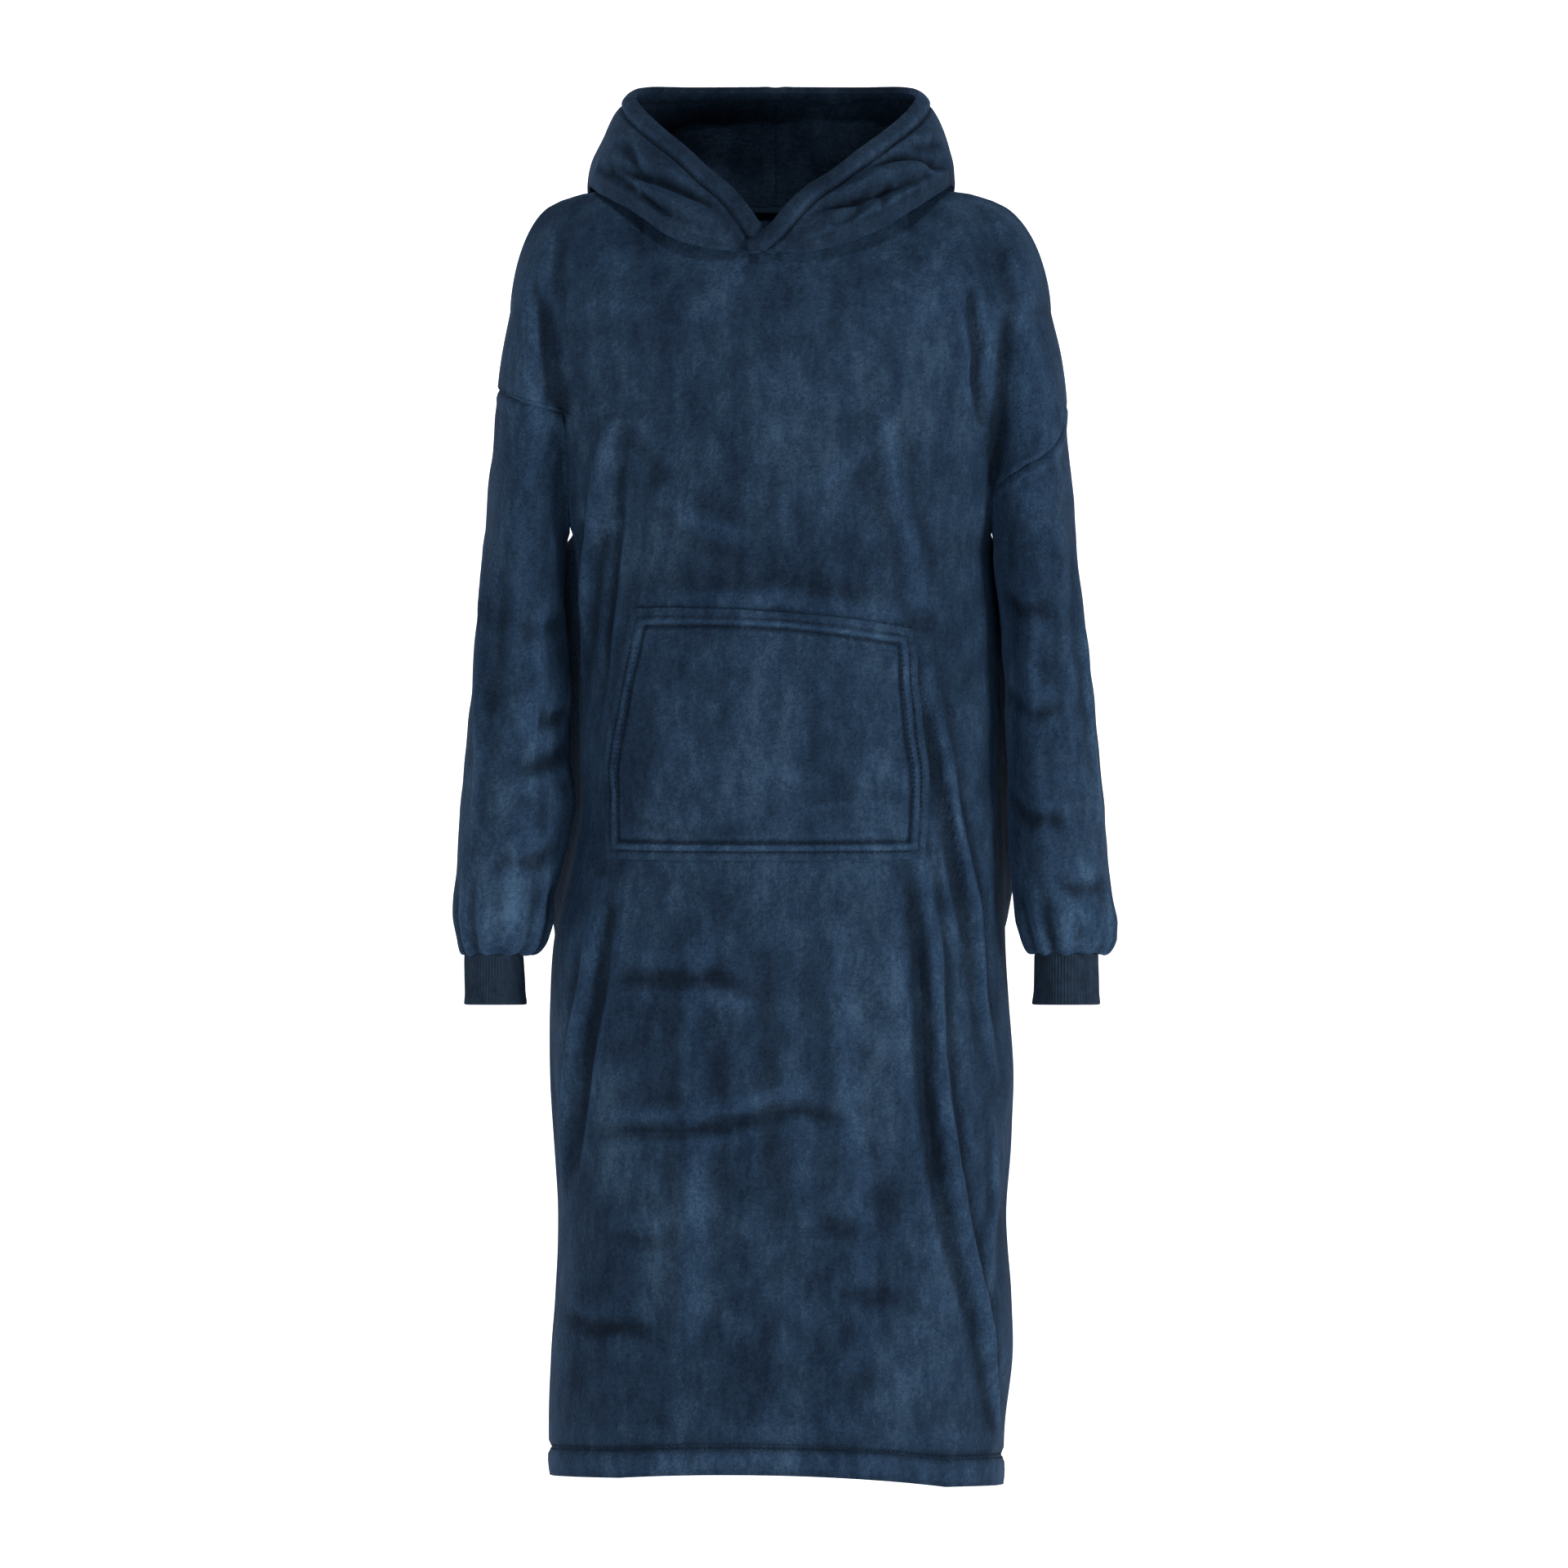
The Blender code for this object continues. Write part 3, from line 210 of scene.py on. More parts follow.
# smaller creases of the front and back
frontCreases = [
    foldLine(-0.0042, 0.0052, 0.3, (-0.153, -0.803), (-0.067, -0.799), (-0.017, -0.790), (0.026, -0.783),
             (0.062, -0.792)),
    foldLine(0.0030, 0.0070, 0.0, (-0.140, -0.790), (-0.067, -0.787), (-0.017, -0.777), (0.020, -0.771)),
    foldLine(-0.0039, 0.0057, -0.3, (-0.181, -0.960), (-0.146, -0.967), (-0.103, -0.969)),
    foldLine(-0.0035, 0.0063, 0.2, (-0.139, -0.668), (-0.074, -0.671), (-0.031, -0.678), (-0.010, -0.692)),
    foldLine(-0.0022, 0.0057, 0.0, (0.047, -0.939), (0.087, -0.942), (0.104, -0.936)),
    foldLine(-0.0022, 0.0057, 0.0, (0.033, -0.878), (0.060, -0.883), (0.076, -0.888)),
    foldLine(-0.0017, 0.0057, 0.0, (-0.150, -0.888), (-0.110, -0.893), (-0.080, -0.888)),
    foldLine(0.0040, 0.0080, 0.0, (-0.118, -0.349), (-0.050, -0.347), (0.020, -0.349), (0.070, -0.360),
             (0.115, -0.364)),
    foldLine(0.0044, 0.0110, 0.2, (-0.108, -0.250), (-0.060, -0.282), (-0.010, -0.296)),
    foldLine(0.0040, 0.0100, -0.2, (0.104, -0.190), (0.050, -0.238), (0.000, -0.262)),
    foldLine(-0.0044, 0.0080, 0.0, (-0.150, -0.190), (-0.120, -0.215), (-0.095, -0.252)),
    foldLine(0.0060, 0.0110, 0.1, (-0.060, -0.600), (-0.072, -0.720), (-0.070, -0.860), (-0.078, -1.020)),
    foldLine(0.0050, 0.0120, -0.1, (0.052, -0.610), (0.060, -0.740), (0.072, -0.880), (0.080, -1.010)),
    foldLine(-0.0050, 0.0110, 0.0, (-0.010, -0.640), (-0.004, -0.780), (0.004, -0.900)),
    foldLine(-0.0060, 0.0046, 0.2, (0.112, -0.585), (0.122, -0.640), (0.128, -0.720), (0.131, -0.800),
             (0.143, -0.870)),
    foldLine(-0.0050, 0.0044, 0.2, (0.130, -0.440), (0.141, -0.510), (0.152, -0.570), (0.160, -0.640)),
    foldLine(-0.0060, 0.0044, 0.0, (-0.136, -0.600), (-0.148, -0.670), (-0.164, -0.770), (-0.172, -0.840)),
    foldLine(-0.0056, 0.0048, 0.0, (-0.128, -0.210), (-0.136, -0.300), (-0.146, -0.390), (-0.152, -0.470)),
    foldLine(0.0044, 0.0060, 0.2, (0.186, -0.770), (0.186, -0.852), (0.181, -0.899), (0.178, -0.946)),
    foldLine(-0.0095, 0.0050, 0.0, (-0.208, -0.070), (-0.200, -0.105), (-0.196, -0.150), (-0.193, -0.186)),
    foldLine(-0.0095, 0.0050, 0.0, (0.166, -0.076), (0.170, -0.115), (0.174, -0.158), (0.178, -0.200)),
]
backCreases = [
    foldLine(-0.0040, 0.0065, 0.2, (-0.130, -0.760), (-0.060, -0.770), (0.010, -0.764), (0.060, -0.752)),
    foldLine(-0.0034, 0.0070, -0.2, (0.160, -0.900), (0.110, -0.912), (0.050, -0.906)),
    foldLine(-0.0030, 0.0080, 0.0, (-0.150, -0.640), (-0.100, -0.652), (-0.050, -0.646)),
    foldLine(0.0050, 0.0130, 0.1, (-0.020, -0.420), (-0.030, -0.600), (-0.046, -0.820), (-0.054, -1.030)),
    foldLine(0.0040, 0.0110, 0.0, (0.130, -0.500), (0.140, -0.620), (0.152, -0.800)),
    foldLine(0.0034, 0.0120, 0.2, (-0.120, -0.230), (-0.060, -0.285), (0.000, -0.300)),
    foldLine(0.0032, 0.0110, -0.2, (0.130, -0.220), (0.070, -0.300), (0.020, -0.330)),
    foldLine(-0.0030, 0.0080, 0.0, (-0.140, -0.180), (-0.110, -0.230), (-0.090, -0.270)),
    foldLine(-0.0032, 0.0090, 0.0, (0.020, -0.950), (0.070, -0.962), (0.110, -0.955)),
]

print("sizes read")


# smooth reading of the tables
def readTable(table, place, column):
    rows = sorted(table)
    at = np.array([row[0] for row in rows])
    value = np.array([row[column] for row in rows])
    slope = np.gradient(value, at)
    place = np.clip(np.asarray(place, float), at[0], at[-1])
    index = np.clip(np.searchsorted(at, place, side="right") - 1, 0, len(at) - 2)
    span = at[index + 1] - at[index]
    part = (place - at[index]) / span
    rise = value[index + 1] - value[index]
    start = slope[index] * span
    end = slope[index + 1] * span
    bend = start - 2.0 * rise + end
    lean = 3.0 * rise - 2.0 * start - end
    return value[index] + part * (start + part * (lean + part * bend))


def ease(t):
    t = np.clip(t, 0.0, 1.0)
    return t * t * (3.0 - 2.0 * t)


def ridge(distance, height, width):
    return height * np.exp(-((distance / width) ** 2))


def lengthsOf(points):
    steps = np.linalg.norm(np.diff(points, axis=0), axis=1)
    return np.concatenate([[0.0], np.cumsum(steps)])


def atLengths(points, along, wanted):
    return np.stack([np.interp(wanted, along, points[:, axis]) for axis in range(points.shape[1])], axis=-1)


def smoothPath(controls, count):
    controls = np.array(controls, float)
    padded = np.concatenate([[2 * controls[0] - controls[1]], controls, [2 * controls[-1] - controls[-2]]])
    dense = []
    for index in range(1, len(padded) - 2):
        a, b, c, d = padded[index - 1 : index + 3]
        for t in np.linspace(0.0, 1.0, 12, endpoint=False):
            bend = (2 * a - 5 * b + 4 * c - d) * t**2 + (3 * b - a - 3 * c + d) * t**3
            dense.append(0.5 * (2 * b + (c - a) * t + bend))
    dense.append(controls[-1])
    dense = np.array(dense)
    along = lengthsOf(dense)
    return atLengths(dense, along, np.linspace(0.0, along[-1], count))


def roundCorner(points, radius):
    along = lengthsOf(points)
    count = 401
    step = along[-1] / (count - 1)
    even = atLengths(points, along, np.linspace(0.0, along[-1], count))
    reach = max(1, int(3.0 * radius / step))
    weights = np.exp(-0.5 * (np.arange(-reach, reach + 1) * step / radius) ** 2)
    weights /= weights.sum()
    before = 2.0 * even[0] - even[reach:0:-1]
    after = 2.0 * even[-1] - even[-2 : -reach - 2 : -1]
    padded = np.concatenate([before, even, after])
    return np.stack([np.convolve(padded[:, axis], weights, mode="valid") for axis in range(2)], axis=1)


# the body's form, one plan section at a height
def halfSection(z, side, face):
    width = float(readTable(bodySizes, z, 1 if side < 0 else 2))
    depth = float(readTable(bodySizes, z, 3 if face < 0 else 4))
    power = 2.0 / 2.25
    turn = np.linspace(0.0, 0.5 * math.pi, 240)
    bodyX = width * np.cos(turn) ** power
    bodyY = depth * np.sin(turn) ** power
    if z <= pit:
        if face > 0:
            column = 1 if side < 0 else 2
            swell = np.interp(z, [row[0] for row in backSwells], [row[column] for row in backSwells])
            bodyX = bodyX + swell * np.sin(math.pi * np.clip(turn / math.radians(50.0), 0.0, 1.0)) ** 2
        return np.stack([side * bodyX, face * bodyY], axis=1), 0.0
    outer, inner = (float(readTable(armSizes[side], z, column)) for column in (1, 2))
    armDepth = float(readTable(armSizes[side], z, 3 if face < 0 else 4))
    roundArm = np.linspace(0.0, math.pi, 360)
    armX = 0.5 * (outer + inner) + 0.5 * (outer - inner) * np.cos(roundArm)
    armY = armDepth * np.sin(roundArm)
    bodyAtArm = np.interp(armX, bodyX[::-1], bodyY[::-1], right=0.0)
    past = (roundArm > 0.5 * math.pi) & (bodyAtArm >= armY)
    last = int(np.argmax(past)) if past.any() else len(armX) - 1
    keep = bodyX < armX[last]
    x = np.concatenate([armX[: last + 1], bodyX[keep]])
    y = np.concatenate([armY[: last + 1], bodyY[keep]])
    points = np.stack([side * x, face * y], axis=1)
    crease = lengthsOf(points)[last] / lengthsOf(points)[-1]
    return roundCorner(points, min(0.0055, 0.10 * armY[last] + 0.0002)), crease


def foldLift(points, along, z, folds):
    lift = np.zeros(len(points))
    for fold in folds:
        heights = [row[0] for row in fold["path"]]
        if min(heights) < z < max(heights):
            middle = np.interp(float(readTable(fold["path"], z, 1)), points[:, 0], along)
            fade = math.sin(math.pi * (z - min(heights)) / (max(heights) - min(heights))) ** 0.6
            t = (along - middle) / fold["width"]
            lift += fold["height"] * fade * (1.0 - 0.5 * t * t) * np.exp(-0.5 * t * t)
    return lift * np.clip(np.minimum(along, along[-1] - along) / 0.012, 0.0, 1.0)


def sectionAt(z, face):
    left, leftCrease = halfSection(z, -1.0, face)
    right, rightCrease = halfSection(z, 1.0, face)
    points = np.concatenate([left, right[-2::-1]])
    along = lengthsOf(points)
    tangent = np.gradient(points, axis=0)
    normal = np.stack([-tangent[:, 1], tangent[:, 0]], axis=1) * face
    normal /= np.maximum(np.linalg.norm(normal, axis=1), 1e-12)[:, None]
    lifted = points + normal * foldLift(points, along, z, largeFolds[face])[:, None]
    places = [
        0.0,
        leftCrease * lengthsOf(left)[-1],
        float(np.interp(readTable(columnLines, z, 1), points[:, 0], along)),
        float(np.interp(readTable(columnLines, z, 2), points[:, 0], along)),
        along[-1] - rightCrease * lengthsOf(right)[-1],
        along[-1],
    ]
    steps = np.linspace(0.0, 5.0, 5 * marks + 1)
    return atLengths(lifted, along, np.interp(steps, np.arange(6), places))


levels = np.concatenate([np.arange(-1.110, pit - 0.001, 0.005), np.linspace(pit, yoke + 0.002, 92)])


def onSurface(surface, z, q):
    # q: 0 and 5 are the outer sides of the arms, 1 and 4 the creases, 2 and 3 the column lines
    z, q = np.asarray(z, float), np.asarray(q, float)
    row = np.clip(np.searchsorted(levels, z, side="right") - 1, 0, len(levels) - 2)
    up = np.clip((z - levels[row]) / (levels[row + 1] - levels[row]), 0.0, 1.0)[..., None]
    place = q * marks
    column = np.clip(place.astype(int), 0, surface.shape[1] - 2)
    across = (place - column)[..., None]
    below = surface[row, column] * (1.0 - across) + surface[row, column + 1] * across
    above = surface[row + 1, column] * (1.0 - across) + surface[row + 1, column + 1] * across
    return np.concatenate([below * (1.0 - up) + above * up, z[..., None]], axis=-1)


def armholeAt(side, step):
    table = armholes[side]
    at = [row[0] for row in table]
    return np.interp(step, at, [row[1] for row in table]), np.interp(step, at, [row[2] for row in table])


# shared work on grids of points
def gridNormals(grid, outward, closed=False):
    if closed:
        across = np.roll(grid, -1, axis=1) - np.roll(grid, 1, axis=1)
    else:
        across = np.gradient(grid, axis=1)
    normal = np.cross(across, np.gradient(grid, axis=0)) * outward
    return normal / np.maximum(np.linalg.norm(normal, axis=2), 1e-9)[..., None]


def tubeNormals(grid, row):
    # turned away from the tube's middle, as judged at one of its rows
    normal = gridNormals(grid, 1.0, closed=True)
    inwards = float(np.sum(normal[row] * (grid[row] - grid[row].mean(axis=0)))) < 0.0
    return -normal if inwards else normal


def creaseLift(grid, normal, creases, facing, allowed=None):
    points = grid.reshape(-1, 3)
    normals = normal.reshape(-1, 3)
    lift = np.zeros(len(points))
    turnedAway = np.where(normals[:, 1] * facing > 0.05, 0.0, 1.0)
    if allowed is not None:
        turnedAway = np.maximum(turnedAway, 1.0 - allowed.reshape(-1))
    for crease in creases:
        spots = smoothPath(crease["path"], 24)
        nearest = []
        for x, z in spots:
            nearest.append(np.argmin((points[:, 0] - x) ** 2 + (points[:, 2] - z) ** 2 + turnedAway))
        anchors = smoothPath(points[nearest[::3] + [nearest[-1]]], 30)
        near = np.full(len(points), 1e9)
        place = np.zeros(len(points))
        sideOf = np.ones(len(points))
        for index in range(len(anchors) - 1):
            start, span = anchors[index], anchors[index + 1] - anchors[index]
            away = points - start
            part = np.clip(away @ span / (span @ span), 0.0, 1.0)
            away -= part[:, None] * span
            distance = np.linalg.norm(away, axis=1)
            closer = distance < near
            near = np.where(closer, distance, near)
            place = np.where(closer, (index + part) / (len(anchors) - 1), place)
            sideOf = np.where(closer, np.sign(np.sum(np.cross(span, away) * normals, axis=1)), sideOf)
        width = crease["width"] * (1.0 + crease["lean"] * sideOf)
        fade = np.sin(math.pi * np.clip(place, 0.0, 1.0)) ** 0.7
        lift += crease["lift"] * fade * np.exp(-0.5 * (near / width) ** 2)
    return lift.reshape(grid.shape[:2]) * (1.0 if allowed is None else allowed)


def unevenness(grid, scales, seed):
    # slow swells of the cloth, as (size, height)
    lift = np.zeros(grid.shape[0] * grid.shape[1])
    for index, (size, height) in enumerate(scales):
        offset = Vector((seed * 3.7, index * 5.1, seed * 1.3))
        lift += [height * noise.noise(Vector(point) / size + offset) for point in grid.reshape(-1, 3)]
    return lift.reshape(grid.shape[:2])


def fromEdge(grid, edge):
    if edge == "left":
        steps = np.linalg.norm(np.diff(grid, axis=1), axis=2)
        return np.concatenate([np.zeros((len(grid), 1)), np.cumsum(steps, axis=1)], axis=1)
    if edge == "right":
        return fromEdge(grid[:, ::-1], "left")[:, ::-1]
    turned = fromEdge(grid.transpose(1, 0, 2)[:, :: -1 if edge == "top" else 1], "left")
    return turned[:, :: -1 if edge == "top" else 1].T


def seamProfile(distance):
    beside = ridge(distance - cloth["ridgeAway"], cloth["ridge"], cloth["ridgeWidth"])
    return beside - ridge(distance, cloth["seamSink"], cloth["seamWidth"])


def nearCrease(z, distance):
    # 1 in the crease under an arm, 0 away from it
    level = np.exp(-(((z - armCrease["z"]) / armCrease["height"]) ** 4))
    return level * ridge(distance, 1.0, armCrease["width"])


def armSeam(distance, inCrease):
    # a seam that is drawn in, except in the crease
    return seamProfile(distance) * (1.0 - inCrease) + armCrease["lift"] * inCrease


def foldLightAndShade(grid, normal, closed):
    # how far each point stands out of the cloth round it, -1 to 1
    # painted light and shade: the colour is made paler on a ridge and darker in a trough
    reach = 3  # points to each side
    fullShadeHeight = 0.0013
    smooth = grid
    for axis in (0, 1):
        wide = [(0, 0), (0, 0), (0, 0)]
        wide[axis] = (reach, reach)
        padded = np.pad(smooth, wide, mode="wrap" if closed and axis == 1 else "edge")
        count = grid.shape[axis]
        shifted = [np.take(padded, range(step, step + count), axis=axis) for step in range(2 * reach + 1)]
        smooth = sum(shifted) / len(shifted)
    return np.clip(np.sum((grid - smooth) * normal, axis=2) / fullShadeHeight, -1.0, 1.0)


def addObject(name, shape, material):
    for side in shape.faces:
        side.smooth = True
    mesh = bpy.data.meshes.new(name)
    shape.to_mesh(mesh)
    shape.free()
    mesh.materials.append(material)
    thing = bpy.data.objects.new(name, mesh)
    bpy.context.scene.collection.objects.link(thing)
    return thing


def makePiece(name, grid, normal, material, closed=False, double=None):
    # a grid of points as cloth, with its wall turned inwards; double: where it lies double, 0 to 1
    rows, columns = grid.shape[:2]
    # fold: painted light and shade for the colour, paler on ridges and darker in troughs
    fold = foldLightAndShade(grid, normal, closed)
    if closed:
        fold = np.concatenate([fold, fold[:, :1]], axis=1)
        grid = np.concatenate([grid, grid[:, :1]], axis=1)
        normal = np.concatenate([normal, normal[:, :1]], axis=1)
        columns += 1
    shape = bmesh.new()
    bmesh.ops.create_grid(shape, x_segments=columns - 1, y_segments=rows - 1, size=1.0)
    across = fromEdge(grid, "left")
    up = fromEdge(grid, "bottom")
    layer = shape.loops.layers.uv.new("cut")
    places = {}
    for vertex in shape.verts:
        column = round((vertex.co.x + 1.0) * 0.5 * (columns - 1))
        row = round((vertex.co.y + 1.0) * 0.5 * (rows - 1))
        places[vertex.index] = (row, column)
        vertex.co = grid[row, column]
    for side in shape.faces:
        for loop in side.loops:
            row, column = places[loop.vert.index]
            loop[layer].uv = (across[row, column], up[row, column])
    weights = shape.verts.layers.deform.verify()
    outward = shape.verts.layers.float_vector.new("outward")
    # the fold layer carries the painted light and shade
    foldShadeLayer = shape.verts.layers.float.new("fold")
    for vertex in shape.verts:
        row, column = places[vertex.index]
        vertex[outward] = normal[row, column]
        vertex[foldShadeLayer] = fold[row, column]
        if double is not None:
            vertex[weights][0] = float(double[row, column])
    if closed:
        bmesh.ops.remove_doubles(shape, verts=shape.verts[:], dist=0.00002)
    bmesh.ops.recalc_face_normals(shape, faces=shape.faces[:])
    if sum(side.normal.dot(side.verts[0][outward]) for side in shape.faces) < 0.0:
        bmesh.ops.reverse_faces(shape, faces=shape.faces[:])
    shape.verts.layers.float_vector.remove(outward)
    piece = addObject(name + "_cloth", shape, material)
    piece.vertex_groups.new(name="double")
    solid = piece.modifiers.new("wall", "SOLIDIFY")
    solid.thickness = cloth["hem"] if double is not None else cloth["wall"]
    solid.offset = -1.0
    if double is not None:
        solid.vertex_group = "double"
        solid.thickness_vertex_group = cloth["wall"] / cloth["hem"]
    edges = piece.modifiers.new("round edges", "BEVEL")
    edges.affect = "EDGES"
    edges.width = 0.0011
    edges.segments = 2
    edges.profile = 0.5
    edges.material = -1
    edges.limit_method = "ANGLE"
    edges.angle_limit = math.radians(60.0)
    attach(piece, "root")
    return piece


def makeStitches(name, path, outward, look, material):
    # a row of short stitches along a path, lying on the cloth
    along = lengthsOf(path)
    count = int(along[-1] / look["pitch"])
    shape = bmesh.new()
    for index in range(count):
        middle = (index + 0.5) * look["pitch"]
        half = 0.5 * look["length"]
        ends = atLengths(path, along, np.array([middle - half, middle + half]))
        out = Vector(atLengths(outward, along, np.array([middle]))[0]).normalized()
        centre = Vector(ends.mean(axis=0)) + out * look["lift"]
        direction = Vector(ends[1] - ends[0]).normalized()
        side = out.cross(direction).normalized()
        out = direction.cross(side).normalized()
        turn = Matrix((direction, side, out)).transposed().to_4x4()
        size = Matrix.Diagonal((0.5 * look["length"], look["radius"], look["radius"] * 0.8, 1.0))
        place = Matrix.Translation(centre) @ turn @ size
        bmesh.ops.create_icosphere(shape, subdivisions=1, radius=1.0, matrix=place)
    piece = addObject(name, shape, material)
    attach(piece, "root")
    return piece


# materials
def newMaterial(name):
    material = bpy.data.materials.new(name)
    material.use_nodes = True
    tree = material.node_tree
    return material, tree, tree.nodes["Principled BSDF"]


def addNoise(tree, vector, scale, detail, roughness):
    node = tree.nodes.new("ShaderNodeTexNoise")
    node.inputs["Scale"].default_value = scale
    node.inputs["Detail"].default_value = detail
    node.inputs["Roughness"].default_value = roughness
    tree.links.new(vector, node.inputs["Vector"])
    return node.outputs["Fac"]


def addMath(tree, operation, *values):
    node = tree.nodes.new("ShaderNodeMath")
    node.operation = operation
    for socket, value in zip(node.inputs, values):
        if isinstance(value, float):
            socket.default_value = value
        else:
            tree.links.new(value, socket)
    return node.outputs[0]


def addShares(tree, parts):
    total = 0.0
    for value, share in parts:
        total = addMath(tree, "MULTIPLY_ADD", value, share, total)
    return total


def addRamp(tree, value, stops, paintedLightness=1.0):
    # the first two stops are the ends
    ramp = tree.nodes.new("ShaderNodeValToRGB")
    elements = ramp.color_ramp.elements
    for index, (position, colour) in enumerate(stops):
        element = elements[index] if index < 2 else elements.new(position)
        element.position = position
        # lightness paints a copy lighter or darker, as painted light and shade
        element.color = (*[part * paintedLightness for part in colour], 1.0)
    tree.links.new(value, ramp.inputs["Fac"])
    return ramp.outputs["Color"]


def finishCloth(tree, shader, look, height):
    for socket in ("Roughness", "Specular IOR Level", "Sheen Weight", "Sheen Roughness", "Sheen Tint"):
        shader.inputs[socket].default_value = look[socket]
    bump = tree.nodes.new("ShaderNodeBump")
    bump.inputs["Strength"].default_value = look["bump"]
    bump.inputs["Distance"].default_value = look["bumpHeight"]
    tree.links.new(height, bump.inputs["Height"])
    tree.links.new(bump.outputs["Normal"], shader.inputs["Normal"])


sheenTint = (0.050, 0.130, 0.280, 1.0)
fleeceLook = {
    "stops": [(0.43, (0.0030, 0.0078, 0.0170)), (0.68, (0.0200, 0.0390, 0.0660)),
              (0.55, (0.0078, 0.0178, 0.0345))],
    "stretch": (1.0, 1.0, 0.45),  # the patches are longer up and down
    "patches": (17.0, 3.0, 0.55),  # scale, detail and roughness; patches of the nap, about 60 mm
    "tufts": (75.0, 4.0, 0.65),  # about 13 mm
    "coarse": (260.0, 2.0, 0.6),
    "grain": (620.0, 2.0, 0.7),
    "foldShadeTone": 0.48,  # painted highlight and shade: how much paler a ridge and darker a trough is
    "Roughness": 0.92, "Specular IOR Level": 0.06,
    "Sheen Weight": 0.22, "Sheen Roughness": 0.38, "Sheen Tint": sheenTint,
    "bump": 1.0, "bumpHeight": 0.0026,
}
ribLook = {
    "stops": [(0.38, (0.0030, 0.0068, 0.0135)), (0.66, (0.0110, 0.0215, 0.0370))],
    "grain": (1400.0, 2.0, 0.6),
    "tufts": (120.0, 3.0, 0.6),
    "Roughness": 0.88, "Specular IOR Level": 0.10,
    "Sheen Weight": 0.12, "Sheen Roughness": 0.5, "Sheen Tint": sheenTint,
    "bump": 0.6, "bumpHeight": 0.0005,
}


def makeFleece(name, paintedLightness):
    material, tree, shader = newMaterial(name)
    place = tree.nodes.new("ShaderNodeTexCoord").outputs["Object"]
    mapping = tree.nodes.new("ShaderNodeMapping")
    mapping.inputs["Scale"].default_value = fleeceLook["stretch"]
    tree.links.new(place, mapping.inputs["Vector"])
    stretched = mapping.outputs["Vector"]
    patches = addNoise(tree, stretched, *fleeceLook["patches"])
    tufts = addNoise(tree, stretched, *fleeceLook["tufts"])
    coarse = addNoise(tree, place, *fleeceLook["coarse"])
    grain = addNoise(tree, place, *fleeceLook["grain"])
    mottle = addShares(tree, [(patches, 0.36), (tufts, 0.30), (coarse, 0.16), (grain, 0.24)])
    colour = addRamp(tree, mottle, fleeceLook["stops"], paintedLightness)
    # the fold attribute paints highlight on ridges and shade in troughs into the colour
    fold = tree.nodes.new("ShaderNodeAttribute")
    fold.attribute_name = "fold"
    foldShadeScale = addMath(tree, "MULTIPLY_ADD", fold.outputs["Fac"], fleeceLook["foldShadeTone"], 1.0)
    foldShadedColour = tree.nodes.new("ShaderNodeVectorMath")
    foldShadedColour.operation = "SCALE"
    tree.links.new(colour, foldShadedColour.inputs[0])
    tree.links.new(foldShadeScale, foldShadedColour.inputs["Scale"])
    tree.links.new(foldShadedColour.outputs["Vector"], shader.inputs["Base Color"])
    finishCloth(tree, shader, fleeceLook, addShares(tree, [(grain, 0.35), (coarse, 0.65)]))
    return material


def makeRib(name):
    material, tree, shader = newMaterial(name)
    place = tree.nodes.new("ShaderNodeTexCoord").outputs["Object"]
    grain = addNoise(tree, place, *ribLook["grain"])
    tufts = addNoise(tree, place, *ribLook["tufts"])
    colour = addRamp(tree, addShares(tree, [(grain, 0.55), (tufts, 0.45)]), ribLook["stops"])
    tree.links.new(colour, shader.inputs["Base Color"])
    finishCloth(tree, shader, ribLook, grain)
    return material


# one fleece in copies: the sleeves and the pocket are painted lighter, as painted light, and the hood darker,
# as painted shade
bodyFleece = makeFleece("body fleece", 1.0)
litSleeveFleece = makeFleece("sleeve fleece painted lit", 1.05)
# the hood's fleece is painted darker, as painted shade
shadedHoodFleece = makeFleece("hood fleece painted shaded", 0.66)
litPocketFleece = makeFleece("pocket fleece painted lit", 1.1)
ribKnit = makeRib("rib knit")
print("materials made")

# front and back
panel = {
    "sideColumns": 45,  # from a side seam to a column line
    "middleColumns": 66,  # between the two lines
    "rowHeight": 0.0056,
    "seamSteps": 48,  # rows along an armhole seam
    "yokeSteps": 34,
    "armTop": -0.165,  # height of the front's middle where the armhole seams end
    "swells": [(0.150, 0.0030), (0.070, 0.0022), (0.034, 0.0012)],
    "hem": 0.025,  # height of the turned-up hem, and of the groove its stitches lie in
    "hemGroove": (0.0028, 0.0024),  # depth and half width
    "hemSwell": 0.0012,
}
neck = {"halfWidth": 0.108, "front": 0.100, "back": 0.070, "sideZ": 0.010, "frontZ": -0.037, "backZ": -0.010}
shoulderLine = [(0.195, -0.011), (0.177, -0.003), (0.160, 0.002), (0.135, 0.006), (0.108, 0.010)]


def neckPoint(turn, face):
    angle = turn * math.pi
    power = 2.0 / 2.2
    across = neck["halfWidth"] * np.sign(np.cos(angle)) * np.abs(np.cos(angle)) ** power
    out = np.clip(np.sin(angle), 0.0, 1.0) ** power
    depth = neck["front"] if face < 0 else neck["back"]
    endZ = neck["frontZ"] if face < 0 else neck["backZ"]
    return np.stack([across, face * depth * out, neck["sideZ"] + (endZ - neck["sideZ"]) * out**1.4], axis=-1)


def topRow(face):
    part = np.linspace(0.0, 1.0, panel["sideColumns"] + 1)
    rows = []
    for side in (-1.0, 1.0):
        across = np.array([row[0] for row in shoulderLine])
        height = np.array([row[1] for row in shoulderLine])
        x = across[0] + (across[-1] - across[0]) * part
        rows.append(np.stack([side * x, np.zeros(len(x)), np.interp(-x, -across, height)], axis=1))
    neckRow = neckPoint(np.linspace(1.0, 0.0, panel["middleColumns"] + 1), face)
    return np.concatenate([rows[0][:-1], neckRow, rows[1][::-1][1:]])


